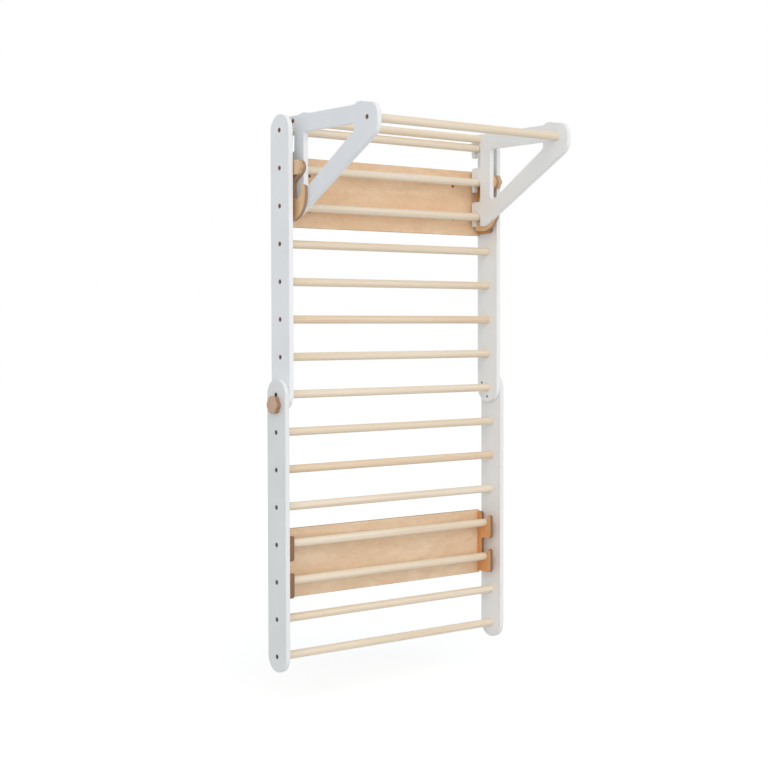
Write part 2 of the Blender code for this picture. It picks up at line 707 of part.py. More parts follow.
def window_outline():
    """Triangular opening between the upright, the top member and the diagonal."""
    slope = diagonal_slope()
    steepness = math.hypot(1, slope)
    back = -SLOT_HALF - MEMBER_WIDTH
    top = TOP_RISE - TOP_MEMBER
    low_back = bracket_bottom() + slope * (-back - TOE_REACH) + DIAGONAL_WIDTH * steepness
    front_width = DIAGONAL_WIDTH + DIAGONAL_SPREAD
    low_front = bracket_bottom() + slope * (WINDOW_FRONT - TOE_REACH) + front_width * steepness
    corners = [(back, top, 0.006), (back, low_back, WINDOW_LOW_ROUND), (-WINDOW_FRONT, low_front, 0.008),
               (-WINDOW_FRONT, top, 0.008)]
    return moved_outline(rounded_outline(corners), RUNG_Y, rung_z(0))


def bar_place():
    """Middle of the front bar."""
    return 0, RUNG_Y - BAR_REACH, rung_z(0) + BAR_RISE


def cross_bar_place():
    """Middle of the cross bar."""
    return 0, RUNG_Y - CROSS_BAR_FORWARD, rung_z(0) + CROSS_BAR_RISE


def latch_pivot():
    """Where a latch turns, level with the rung above the one that it holds."""
    return 0, RUNG_Y - LATCH_PIVOT_FORWARD, rung_z(LATCH_RUNG - 1)


def make_bracket(word, side, material):
    """Side plate of the pull-up frame."""
    solid = bmesh.new()
    ends = sorted((side * BRACKET_INNER_X, side * BRACKET_OUTER_X))
    add_prism(solid, bracket_outline(), ends[0], ends[1], STILE_EDGE)
    bracket = finish_mesh("pull_up_bracket_" + word, solid, (0, 0, 0), material)
    window = bmesh.new()
    add_prism(window, window_outline(), ends[0] - FACE_EDGE, ends[1] + FACE_EDGE)
    cut(bracket, "bracket_window_" + word, window)
    sockets = bmesh.new()
    add_sockets(sockets, BRACKET_OUTER_X, BRACKET_THICKNESS, side, [bar_place()[1:]])
    cut(bracket, "bracket_socket_" + word, sockets)
    holes = bmesh.new()
    add_screw_holes(holes, BRACKET_OUTER_X, BRACKET_THICKNESS + FACE_EDGE, side,
                    [bar_place()[1:], cross_bar_place()[1:]])
    add_bores(holes, INSERT_RADIUS + TOUCH, BRACKET_OUTER_X - INSERT_LENGTH - 2 * TOUCH,
              BRACKET_OUTER_X + FACE_EDGE, side, [latch_pivot()[1:]])
    cut(bracket, "bracket_holes_" + word, holes)
    return bracket


def make_latch_sleeve(word, side, material):
    """Threaded sleeve for a latch's stud, in the outer face of a bracket."""
    solid = bmesh.new()
    bore = STUD_RADIUS + TOUCH
    high = BRACKET_OUTER_X - TOUCH
    low = high - INSERT_LENGTH
    profile = [(low, bore), (low, INSERT_RADIUS), (high, INSERT_RADIUS), (high, bore)]
    add_turned(solid, profile, (0, 0, 0), SCREW_SIDES, side, closed=True)
    return finish_mesh("latch_sleeve_" + word, solid, latch_pivot(), material, math.radians(40))


# Latches

def latch_lip():
    """Height of the lip above the rung, so that the rung clears it as the latch swings."""
    swing = math.hypot(LATCH_PIVOT_FORWARD, PITCH) - RUNG_RADIUS - LATCH_PLAY
    return PITCH - math.sqrt(swing ** 2 - (LATCH_PIVOT_FORWARD + LIP_REACH) ** 2)


def latch_outline():
    """Hook that swings back under a rung, with a finger horn in front, about its pivot."""
    hub = LATCH_HUB_RADIUS
    hub_back = hub - LATCH_PIVOT_FORWARD
    hub_front = -hub - LATCH_PIVOT_FORWARD
    hub_low = PITCH - hub / 2
    seat = RUNG_RADIUS + LATCH_PLAY
    horn_back = HORN_WIDTH - LATCH_REACH
    notch_width = -SHANK_FRONT - horn_back
    corners = [(hub_front, PITCH + hub, hub), (hub_front, hub_low, 0.018),
               (-SHANK_FRONT, HORN_TOP + 0.010, 0.014), (-SHANK_FRONT, NOTCH_FLOOR, 0.014),
               (horn_back, NOTCH_FLOOR + notch_width * 0.6, 0.012), (horn_back, HORN_TOP, 0.008),
               (-LATCH_REACH, HORN_TOP, 0.012), (-LATCH_REACH, -LATCH_BOTTOM, LATCH_SWEEP),
               (JAW_REACH, JAW_RISE - LATCH_BOTTOM, 0.012), (JAW_REACH, -seat, 0.008),
               (-seat, -seat, seat), (-seat, seat, seat), (LIP_REACH, latch_lip(), 0.005),
               (SHANK_BACK, HORN_TOP, 0.016), (hub_back, hub_low, 0.020), (hub_back, PITCH + hub, hub)]
    return moved_outline(rounded_outline(corners), LATCH_PIVOT_FORWARD, -PITCH)


def make_latch(word, side, material):
    """Hook latch with its origin on its pivot."""
    solid = bmesh.new()
    ends = sorted((side * LATCH_INNER_X, side * LATCH_OUTER_X))
    add_prism(solid, latch_outline(), ends[0], ends[1])
    latch = finish_mesh("latch_plate_" + word, solid, latch_pivot(), material)
    hole = bmesh.new()
    add_bores(hole, STUD_RADIUS + TOUCH, LATCH_INNER_X - FACE_EDGE, LATCH_OUTER_X + FACE_EDGE, side,
              [(0, 0)])
    cut(latch, "latch_hole_" + word, hole)
    return latch


# Assembly

def make_joint_empty(name, place, parent=None):
    """Empty that carries what moves with a joint."""
    empty = bpy.data.objects.new(name, None)
    bpy.context.collection.objects.link(empty)
    empty.empty_display_size = 0.05
    empty.location = place
    if parent is not None:
        attach([empty], parent)
    return empty


def world_place(item):
    """World location of an object whose parents are not turned."""
    place = item.location.copy()
    while item.parent is not None:
        item = item.parent
        place += item.location
    return place


def attach(items, parent):
    """Parent pieces to an empty and keep them where they are."""
    base = world_place(parent)
    for item in items:
        item.parent = parent
        item.location = item.location - base


def build_upper_section(materials):
    """Upper planks, their rungs, screws, pivot bolts and lock sleeves."""
    pieces = [make_rung(index, materials["rung_birch"]) for index in range(FOLD_RUNG)]
    pieces.append(make_fold_rung(materials["rung_birch"]))
    for word, side in SIDES:
        pieces += [make_upper_stile(word, side, materials["white_paint"]),
                   make_pivot_bolt(word, side, materials["zinc"]),
                   make_fold_insert("straight_lock_sleeve_" + word, side, 0, materials["zinc"]),
                   make_fold_insert("folded_lock_sleeve_" + word, side, FOLD_ANGLE, materials["zinc"])]
    return pieces


def build_lower_section(materials):
    """Lower planks with their rungs and screws."""
    indexes = range(FOLD_RUNG + 1, LAST_RUNG + 1)
    pieces = [make_rung(index, materials["rung_birch"]) for index in indexes]
    for word, side in SIDES:
        pieces.append(make_lower_stile(word, side, materials["white_paint"]))
    return pieces


def build_fold_knobs(materials):
    """Knobs that lock the fold, each with a stud that stops at the joint between the planks."""
    pieces = []
    hole_y, hole_z = lock_hole(0)
    place = (0, hole_y, hole_z)
    for word, side in SIDES:
        pieces += [make_knob("fold_knob_" + word, side, FOLD_KNOB_X, FOLD_KNOB_RADIUS,
                             FOLD_KNOB_THICKNESS, place, materials["hook_birch"]),
                   make_stud("fold_knob_stud_" + word, side, LOWER_INNER_X + TOUCH,
                             FOLD_KNOB_X + STUD_BORE_DEPTH, place, materials["zinc"])]
    return pieces


def build_pull_up_frame(materials):
    """Brackets, both bars, their screws and the latch sleeves."""
    pieces = [make_dowel("pull_up_bar", BRACKET_INNER_X + SOCKET_DEPTH, BRACKET_OUTER_X, bar_place(),
                         materials["rung_birch"]),
              make_dowel("cross_bar", BRACKET_INNER_X - TOUCH, BRACKET_OUTER_X, cross_bar_place(),
                         materials["rung_birch"])]
    for word, side in SIDES:
        pieces += [make_bracket(word, side, materials["white_paint"]),
                   make_latch_sleeve(word, side, materials["zinc"])]
    return pieces


def build_latches(materials):
    """Latches, and the knobs that clamp them."""
    pieces = []
    place = latch_pivot()
    for word, side in SIDES:
        pieces += [make_latch(word, side, materials["hook_birch"]),
                   make_knob("latch_knob_" + word, side, LATCH_KNOB_X, LATCH_KNOB_RADIUS,
                             LATCH_KNOB_THICKNESS, place, materials["hook_birch"]),
                   make_stud("latch_knob_stud_" + word, side, BRACKET_OUTER_X - INSERT_LENGTH,
                             LATCH_KNOB_X + STUD_BORE_DEPTH, place, materials["zinc"])]
    return pieces


def main():
    """Build the wall bars and hang each moving section on its joint."""
    clear_scene()
    materials = make_materials()
    make_mount("upper", UPPER_MOUNT_RUNG, materials)
    ladder = make_joint_empty("ladder_lift_joint", (0, RUNG_Y, rung_z(UPPER_MOUNT_RUNG)))
    fold = make_joint_empty("fold_joint", (0, RUNG_Y, rung_z(FOLD_RUNG)), ladder)
    lower_mount = make_joint_empty("lower_mount_joint", (0, RUNG_Y, rung_z(LOWER_MOUNT_RUNG)), fold)
    frame = make_joint_empty("pull_up_frame_joint", (0, RUNG_Y, rung_z(0)), ladder)
    attach(build_upper_section(materials), ladder)
    attach(build_lower_section(materials), fold)
    attach(build_fold_knobs(materials), fold)
    attach(make_mount("lower", LOWER_MOUNT_RUNG, materials), lower_mount)
    attach(build_pull_up_frame(materials), frame)
    attach(build_latches(materials), frame)


main()
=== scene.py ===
"""Dresses the wall bars and sets up the room round them.

The pieces are lacquered planks and brackets, birch rungs and bars, plywood boards, cheeks, latches and
knobs, and the screws, bolts, studs and sleeves that hold them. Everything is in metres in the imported
model's frame: X runs along the rungs, +Y points into the wall and Z is up.
"""

import json
import logging
import math
from dataclasses import dataclass
from enum import Enum

import bmesh
import bpy
from mathutils import Matrix, Vector

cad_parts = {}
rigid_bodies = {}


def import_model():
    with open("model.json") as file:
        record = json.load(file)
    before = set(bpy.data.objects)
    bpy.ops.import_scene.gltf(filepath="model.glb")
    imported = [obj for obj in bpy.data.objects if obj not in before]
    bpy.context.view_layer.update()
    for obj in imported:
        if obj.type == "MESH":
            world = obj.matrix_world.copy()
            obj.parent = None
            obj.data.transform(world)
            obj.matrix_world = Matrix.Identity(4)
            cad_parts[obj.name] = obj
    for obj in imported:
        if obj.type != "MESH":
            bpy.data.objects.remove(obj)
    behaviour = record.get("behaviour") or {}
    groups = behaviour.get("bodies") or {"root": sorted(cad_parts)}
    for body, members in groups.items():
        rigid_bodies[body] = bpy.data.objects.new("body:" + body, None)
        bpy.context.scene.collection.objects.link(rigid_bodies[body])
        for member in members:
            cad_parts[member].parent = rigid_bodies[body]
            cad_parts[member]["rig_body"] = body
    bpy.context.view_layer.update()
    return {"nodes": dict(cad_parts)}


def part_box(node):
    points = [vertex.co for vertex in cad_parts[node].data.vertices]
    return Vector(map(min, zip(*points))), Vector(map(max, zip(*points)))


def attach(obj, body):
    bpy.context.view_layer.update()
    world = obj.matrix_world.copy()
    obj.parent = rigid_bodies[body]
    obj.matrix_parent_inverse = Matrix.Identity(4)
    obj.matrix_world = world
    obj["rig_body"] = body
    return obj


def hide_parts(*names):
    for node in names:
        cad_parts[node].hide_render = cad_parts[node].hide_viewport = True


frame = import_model()

LOG = logging.getLogger("wall_bars")
WHITE: tuple[float, float, float, float] = (1.0, 1.0, 1.0, 1.0)

Tint = tuple[float, float, float]
Point = tuple[float, float, float]
Place = tuple[float, float]


class Axis(Enum):
    """An axis of the model's frame, by its place in a vector."""

    X = 0
    Y = 1
    Z = 2


class Facing(Enum):
    """Where the outer end of a turned piece points, as its turn about Z from +X."""

    RIGHT = 0.0
    LEFT = math.pi
    ROOM = -math.pi / 2


class Side(Enum):
    """Left and right side of the ladder, with the sign of X."""

    LEFT = -1
    RIGHT = 1

    @property
    def word(self) -> str:
        """The side's word in the names of nodes and pieces."""
        return self.name.lower()

    @property
    def facing(self) -> Facing:
        """The direction out of this side."""
        return Facing[self.name]


class Level(Enum):
    """Upper and lower one of two, by their word in the names of nodes and pieces."""

    UPPER = "upper"
    LOWER = "lower"


class Lacquered(Enum):
    """Kinds of lacquered plate, by the first words of their nodes' names."""

    UPPER_PLANK = "upper_stile"
    LOWER_PLANK = "lower_stile"
    BRACKET = "pull_up_bracket"

    @property
    def word(self) -> str:
        """The kind's word in the names of pieces and materials."""
        return self.name.lower()


class Sheet(Enum):
    """Plywood sheets that the pieces are cut from, as their thickness in metres and their plies."""

    THICK = (0.018, 13)
    MIDDLE = (0.015, 11)
    THIN = (0.012, 9)


class Slot(Enum):
    """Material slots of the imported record."""

    PAINT = "white_paint"
    RUNG = "rung_birch"
    BOARD = "board_birch"
    HOOK = "hook_birch"
    ZINC = "zinc"
    BRONZE = "bronze_screw"


def seen(red: int, green: int, blue: int) -> Tint:
    """Turn a colour as it is seen on a screen into the shader's linear values, by the sRGB curve.

    Args:
        red: Red from 0 to 255.
        green: Green from 0 to 255.
        blue: Blue from 0 to 255.

    Returns:
        The linear colour.
    """
    parts = [value / 255 for value in (red, green, blue)]
    return tuple(part / 12.92 if part <= 0.04045 else ((part + 0.055) / 1.055) ** 2.4 for part in parts)


def middle_of(node: str) -> Place:
    """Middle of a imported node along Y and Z."""
    low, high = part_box(node)
    return (low[1] + high[1]) / 2, (low[2] + high[2]) / 2


def ends_of(node: str) -> Place:
    """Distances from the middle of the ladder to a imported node's inner and outer end."""
    inner, outer = sorted(abs(corner[0]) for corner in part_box(node))
    return inner, outer


def inner_x(kind: str) -> float:
    """Distance from the middle of the ladder to the inner face of a pair of pieces."""
    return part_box(f"{kind}_{Side.RIGHT.word}")[0][0]


def outer_x(kind: str) -> float:
    """Distance from the middle of the ladder to the outer face of a pair of pieces."""
    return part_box(f"{kind}_{Side.RIGHT.word}")[1][0]


@dataclass(frozen=True)
class Figure:
    """Noise drawn out along a grain, and how it colours what it lies on.

    Along and across are its repeats per metre. The shift moves it, so that two figures differ. It leaves
    the colour as it is where the noise is under low, and has its full strength where the noise is over
    high. Detail and roughness are the number and strength of the finer octaves, and bend is how far the
    noise is bent by itself.
    """

    along: float
    across: float
    shift: float
    low: float = 0.0
    high: float = 1.0
    strength: float = 1.0
    detail: float = 2.0
    roughness: float = 0.5
    bend: float = 0.0


@dataclass(frozen=True)
class Sheen:
    """Roughness that goes from smooth to rough while a noise goes from low to high."""

    smooth: float
    rough: float
    low: float = 0.3
    high: float = 0.8


@dataclass(frozen=True)
class Relief:
    """Metres that a height of 1 stands for, and the share of it that shows."""

    depth: float
    strength: float


class Recipe:
    """A node tree in the making, round one Principled shader.

    Drift is how far a figure's shift of 1 moves its noise along each axis. The mix numbers are the places
    of the Mix node's sockets for colours.
    """

    drift: Point = (1.0, 1.7, 0.6)
    mix_share: int = 0
    mix_first: int = 6
    mix_second: int = 7
    mix_result: int = 2

    def __init__(self, name: str) -> None:
        """Start a material.

        Args:
            name: Its name.
        """
        self.material = bpy.data.materials.new(name)
        self.material.use_nodes = True
        self.tree = self.material.node_tree
        self.shader = self.tree.nodes["Principled BSDF"]
        coordinates = self.tree.nodes.new("ShaderNodeTexCoord")
        self.place = coordinates.outputs["Object"]
        self.normal = coordinates.outputs["Normal"]

    def feed(self, socket: bpy.types.NodeSocket, value: object) -> None:
        """Link a socket to another, or set it to a plain value.

        Args:
            socket: The socket to fill.
            value: Another socket, a number, or a colour as three numbers.
        """
        if isinstance(value, bpy.types.NodeSocket):
            self.tree.links.new(value, socket)
        elif isinstance(value, tuple) and len(socket.default_value) == 4:
            socket.default_value = (*value, 1.0)
        else:
            socket.default_value = value

    def math(self, operation: str, *values: object) -> bpy.types.NodeSocket:
        """Work out one number from others.

        Args:
            operation: Name of the Math node's operation.
            values: Numbers or sockets, in order.

        Returns:
            The result's socket.
        """
        step = self.tree.nodes.new("ShaderNodeMath")
        step.operation = operation
        for socket, value in zip(step.inputs, values):
            self.feed(socket, value)
        return step.outputs[0]

    def axis(self, vector: bpy.types.NodeSocket, axis: Axis) -> bpy.types.NodeSocket:
        """One component of a vector.

        Args:
            vector: The vector's socket.
            axis: Which component.

        Returns:
            The component's socket.
        """
        parts = self.tree.nodes.new("ShaderNodeSeparateXYZ")
        self.feed(parts.inputs[0], vector)
        return parts.outputs[axis.value]

    def noise(self, figure: Figure, grain: Axis = Axis.Z) -> bpy.types.NodeSocket:
        """Draw a figure's noise on the piece's own coordinates.

        Args:
            figure: The figure.
            grain: Axis that it is drawn out along.

        Returns:
            The noise from 0 to 1.
        """
        scale = [figure.across] * 3
        scale[grain.value] = figure.along
        placed = self.tree.nodes.new("ShaderNodeMapping")
        self.feed(placed.inputs["Vector"], self.place)
        placed.inputs["Location"].default_value = [figure.shift * part for part in self.drift]
        placed.inputs["Scale"].default_value = scale
        cloud = self.tree.nodes.new("ShaderNodeTexNoise")
        self.feed(cloud.inputs["Vector"], placed.outputs[0])
        cloud.inputs["Scale"].default_value = 1.0
        cloud.inputs["Detail"].default_value = figure.detail
        cloud.inputs["Roughness"].default_value = figure.roughness
        cloud.inputs["Distortion"].default_value = figure.bend
        return cloud.outputs["Fac"]

    def span(self, value: bpy.types.NodeSocket, low: float, high: float, bottom: float = 0.0,
             top: float = 1.0) -> bpy.types.NodeSocket:
        """Carry a value from one range to another, kept inside it.

        Args:
            value: The value's socket.
            low: Value that gives the bottom.
            high: Value that gives the top.
            bottom: Result at low.
            top: Result at high.

        Returns:
            The result's socket.
        """
        step = self.tree.nodes.new("ShaderNodeMapRange")
        self.feed(step.inputs["Value"], value)
        for name, number in (("From Min", low), ("From Max", high), ("To Min", bottom), ("To Max", top)):
            step.inputs[name].default_value = number
        return step.outputs["Result"]

    def blend(self, share: object, first: object, second: object) -> bpy.types.NodeSocket:
        """Mix two colours.

        Args:
            share: How much of the second shows.
            first: Colour or socket.
            second: Colour or socket.

        Returns:
            The mixed colour.
        """
        step = self.tree.nodes.new("ShaderNodeMix")
        step.data_type = "RGBA"
        self.feed(step.inputs[self.mix_share], share)
        self.feed(step.inputs[self.mix_first], first)
        self.feed(step.inputs[self.mix_second], second)
        return step.outputs[self.mix_result]

    def stain(self, colour: object, noise: bpy.types.NodeSocket, figure: Figure,
              tint: Tint) -> bpy.types.NodeSocket:
        """Lay a figure over a colour.

        Args:
            colour: Colour or socket that it lies on.
            noise: The figure's noise, already drawn.
            figure: The figure, for its range and strength.
            tint: Colour that it brings.

        Returns:
            The stained colour.
        """
        share = self.span(noise, figure.low, figure.high, 0.0, figure.strength)
        return self.blend(share, colour, tint)

    def gloss(self, noise: bpy.types.NodeSocket, sheen: Sheen) -> bpy.types.NodeSocket:
        """Roughness of a sheen that follows a noise."""
        return self.span(noise, sheen.low, sheen.high, sheen.smooth, sheen.rough)

    def bump(self, height: bpy.types.NodeSocket, relief: Relief) -> None:
        """Raise the surface by a height from 0 to 1, over what is there already.

        Args:
            height: The height's socket.
            relief: Its depth and strength.
        """
        step = self.tree.nodes.new("ShaderNodeBump")
        step.inputs["Strength"].default_value = relief.strength
        step.inputs["Distance"].default_value = relief.depth
        self.feed(step.inputs["Height"], height)
        for link in list(self.tree.links):
            if link.to_socket == self.shader.inputs["Normal"]:
                self.feed(step.inputs["Normal"], link.from_socket)
        self.feed(self.shader.inputs["Normal"], step.outputs["Normal"])

    def finish(self, colour: object, roughness: object, metallic: float = 0.0) -> bpy.types.Material:
        """Set the shader.

        Args:
            colour: Base colour, or its socket.
            roughness: Roughness, or its socket.
            metallic: 1 for metal.

        Returns:
            The finished material.
        """
        self.feed(self.shader.inputs["Base Color"], colour)
        self.feed(self.shader.inputs["Roughness"], roughness)
        self.feed(self.shader.inputs["Metallic"], metallic)
        return self.material


@dataclass(frozen=True)
class Plies:
    """The layers of a plywood sheet, counted outwards from |coordinate| = start.

    A point lies on a face of the sheet where its normal's part along the axis is over on_face, and on an
    edge where it is under on_edge. A stripe's border lies where the sine of its place is within
    stripe_border of 0. Glue shows from glue_outside plies off the joint, and in full from glue_inside.
    """

    axis: Axis
    start: float
    sheet: Sheet
    waves: Figure = Figure(40, 40, 3.1)
    wave_height: float = 0.0003
    on_face: float = 0.62
    on_edge: float = 0.42
    stripe_border: float = 0.35
    glue_outside: float = 0.10
    glue_inside: float = 0.02

    def edge_share(self, recipe: Recipe) -> bpy.types.NodeSocket:
        """1 on the sheet's edges and 0 on its faces."""
        facing = recipe.math("ABSOLUTE", recipe.axis(recipe.normal, self.axis))
        return recipe.span(facing, self.on_face, self.on_edge)

    def layer(self, recipe: Recipe) -> bpy.types.NodeSocket:
        """How many plies deep a point lies, with the plies' slight waves.

        Args:
            recipe: The material in the making.

        Returns:
            The number's socket.
        """
        thickness, count = self.sheet.value
        depth = recipe.math("ABSOLUTE", recipe.axis(recipe.place, self.axis))
        wave = recipe.math("MULTIPLY", recipe.noise(self.waves), self.wave_height)
        inside = recipe.math("SUBTRACT", recipe.math("ADD", depth, wave), self.start)
        return recipe.math("MULTIPLY", inside, count / thickness)

    def stripes(self, recipe: Recipe) -> bpy.types.NodeSocket:
        """0 and 1 by turns from ply to ply."""
        wave = recipe.math("SINE", recipe.math("MULTIPLY", self.layer(recipe), math.pi))
        return recipe.span(wave, -self.stripe_border, self.stripe_border)

    def glue_lines(self, recipe: Recipe) -> bpy.types.NodeSocket:
        """1 on the thin dark lines between the plies."""
        off_joint = recipe.math("PINGPONG", self.layer(recipe), 0.5)
        return recipe.span(off_joint, self.glue_outside, self.glue_inside)


@dataclass(frozen=True)
class Whites:
    """Colours of a lacquered sheet's faces and edges, tinted for the light on its side as painted light.
    """

    face: Tint
    edge: Tint


@dataclass(frozen=True)
class BareWood:
    """Colours of the bare wood round a lacquered sheet's screws, darkened as painted shade."""

    pale: Tint
    dark: Tint


@dataclass(frozen=True)
class PaintFinish:
    """Satin white lacquer on plywood, with painted light, and bare wood round the screws in painted shade.

    With a pitch, the screws repeat along Z. Without one, the places are all that there are. The wood shows
    up to ring from a screw's axis, with a frayed border ring_border wide, darkened as painted shade.
    """

    name: str
    plies: Plies
    screw_places: tuple[Place, ...]
    pitch: float
    # Whites tinted for the light on this plate's side: painted light.
    whites: Whites
    # Bare wood round the screws, darkened as painted shade in the countersinks.
    wood: BareWood
    grain: Axis = Axis.Z
    shade: float = 0.955
    clouds: Figure = Figure(5, 5, 0.4, 0.35, 0.65, detail=3.0)
    fibres: Figure = Figure(14, 420, 1.3, detail=3.0)
    roller: Figure = Figure(520, 520, 2.2, detail=1.0)
    fray: Figure = Figure(900, 900, 5.0)
    fray_width: float = 0.0006
    ring: float = 0.0082
    ring_border: float = 0.0008
    glue: Tint = seen(205, 200, 190)
    glue_share: float = 0.10
    sheen: Sheen = Sheen(0.40, 0.50, 0.3, 0.7)
    bare_roughness: float = 0.3
    roller_relief: Relief = Relief(0.00006, 0.35)
    fibre_relief: Relief = Relief(0.00008, 0.35)
    ply_relief: Relief = Relief(0.00010, 0.5)

    def screw_distance(self, recipe: Recipe) -> bpy.types.NodeSocket:
        """Distance from a point to the axis of the nearest screw.

        Args:
            recipe: The material in the making.

        Returns:
            The distance's socket.
        """
        nearest: object = 1.0
        for place_y, place_z in self.screw_places:
            off_y = recipe.math("SUBTRACT", recipe.axis(recipe.place, Axis.Y), place_y)
            off_z = recipe.math("SUBTRACT", recipe.axis(recipe.place, Axis.Z), place_z)
            if self.pitch:
                off_z = recipe.math("WRAP", off_z, self.pitch / 2, -self.pitch / 2)
            square_y = recipe.math("MULTIPLY", off_y, off_y)
            square_z = recipe.math("MULTIPLY", off_z, off_z)
            distance = recipe.math("SQRT", recipe.math("ADD", square_y, square_z))
            nearest = recipe.math("MINIMUM", distance, nearest)
        return nearest

    def bare_share(self, recipe: Recipe) -> bpy.types.NodeSocket:
        """Where the lacquer is missing round the screws, with the wood there in painted shade.

        Args:
            recipe: The material in the making.

        Returns:
            1 on the bare wood in painted shade and 0 on the lacquer, with a frayed border.
        """
        fray = recipe.math("MULTIPLY", recipe.noise(self.fray), self.fray_width)
        distance = recipe.math("ADD", self.screw_distance(recipe), fray)
        return recipe.span(distance, self.ring + self.ring_border, self.ring)

    def build(self) -> bpy.types.Material:
        """Make the material, with a roller's texture, faint grain and the plies under the lacquer.

        Returns:
            The material.
        """
        recipe = Recipe(self.name)
        clouds = recipe.noise(self.clouds)
        fibres = recipe.noise(self.fibres, self.grain)
        roller = recipe.noise(self.roller)
        edge = self.plies.edge_share(recipe)
        bare = self.bare_share(recipe)
        # Painted light: the face and edge whites are tinted for the light that falls on this plate's side.
        shaded = tuple(part * self.shade for part in self.whites.face)
        paint = recipe.stain(shaded, clouds, self.clouds, self.whites.face)
        paint = recipe.blend(edge, paint, self.whites.edge)
        lines = recipe.math("MULTIPLY", self.plies.glue_lines(recipe), edge)
        paint = recipe.blend(recipe.math("MULTIPLY", lines, self.glue_share), paint, self.glue)
        # Painted shade: the bare wood round the screws is darkened for the shade in the countersinks.
        wood = recipe.blend(fibres, self.wood.dark, self.wood.pale)
        recipe.bump(roller, self.roller_relief)
        recipe.bump(fibres, self.fibre_relief)
        recipe.bump(recipe.math("MULTIPLY", self.plies.stripes(recipe), edge), self.ply_relief)
        rougher = recipe.math("MULTIPLY", bare, self.bare_roughness)
        roughness = recipe.math("ADD", recipe.gloss(roller, self.sheen), rougher)
        return recipe.finish(recipe.blend(bare, paint, wood), roughness)


@dataclass(frozen=True)
class DowelFinish:
    """Straight-grained birch dowel under clear oil."""

    name: str
    pale: Tint
    cream: Tint
    straw: Tint
    fleck: Tint = seen(176, 138, 98)
    grain: Axis = Axis.X
    tone: Figure = Figure(0.9, 9.0, 0.7, 0.36, 0.64)
    rings: Figure = Figure(1.6, 210, 4.0, 0.45, 0.72, 0.55, detail=3.0, roughness=0.6, bend=0.3)
    fibres: Figure = Figure(22, 900, 8.0, 0.5, 0.75, 0.30)
    flecks: Figure = Figure(60, 700, 6.1, 0.70, 0.78, 0.45, detail=1.0)
    sheen: Sheen = Sheen(0.42, 0.56)
    fibre_relief: Relief = Relief(0.00006, 0.4)
    ring_relief: Relief = Relief(0.00008, 0.3)

    def build(self) -> bpy.types.Material:
        """Make the material, with a tone for each dowel, growth lines, short pores and the odd fleck.

        Returns:
            The material.
        """
        recipe = Recipe(self.name)
        tone = recipe.noise(self.tone, self.grain)
        rings = recipe.noise(self.rings, self.grain)
        fibres = recipe.noise(self.fibres, self.grain)
        flecks = recipe.noise(self.flecks, self.grain)
        colour = recipe.stain(self.pale, tone, self.tone, self.cream)
        colour = recipe.stain(colour, rings, self.rings, self.straw)
        colour = recipe.stain(colour, fibres, self.fibres, self.straw)
        colour = recipe.stain(colour, flecks, self.flecks, self.fleck)
        recipe.bump(fibres, self.fibre_relief)
        recipe.bump(rings, self.ring_relief)
        return recipe.finish(colour, recipe.gloss(rings, self.sheen))


@dataclass(frozen=True)
class PlywoodTints:
    """Colours of a plywood sheet's faces and edges."""

    pale: Tint
    warm: Tint
    line: Tint
    edge_pale: Tint
    edge_dark: Tint


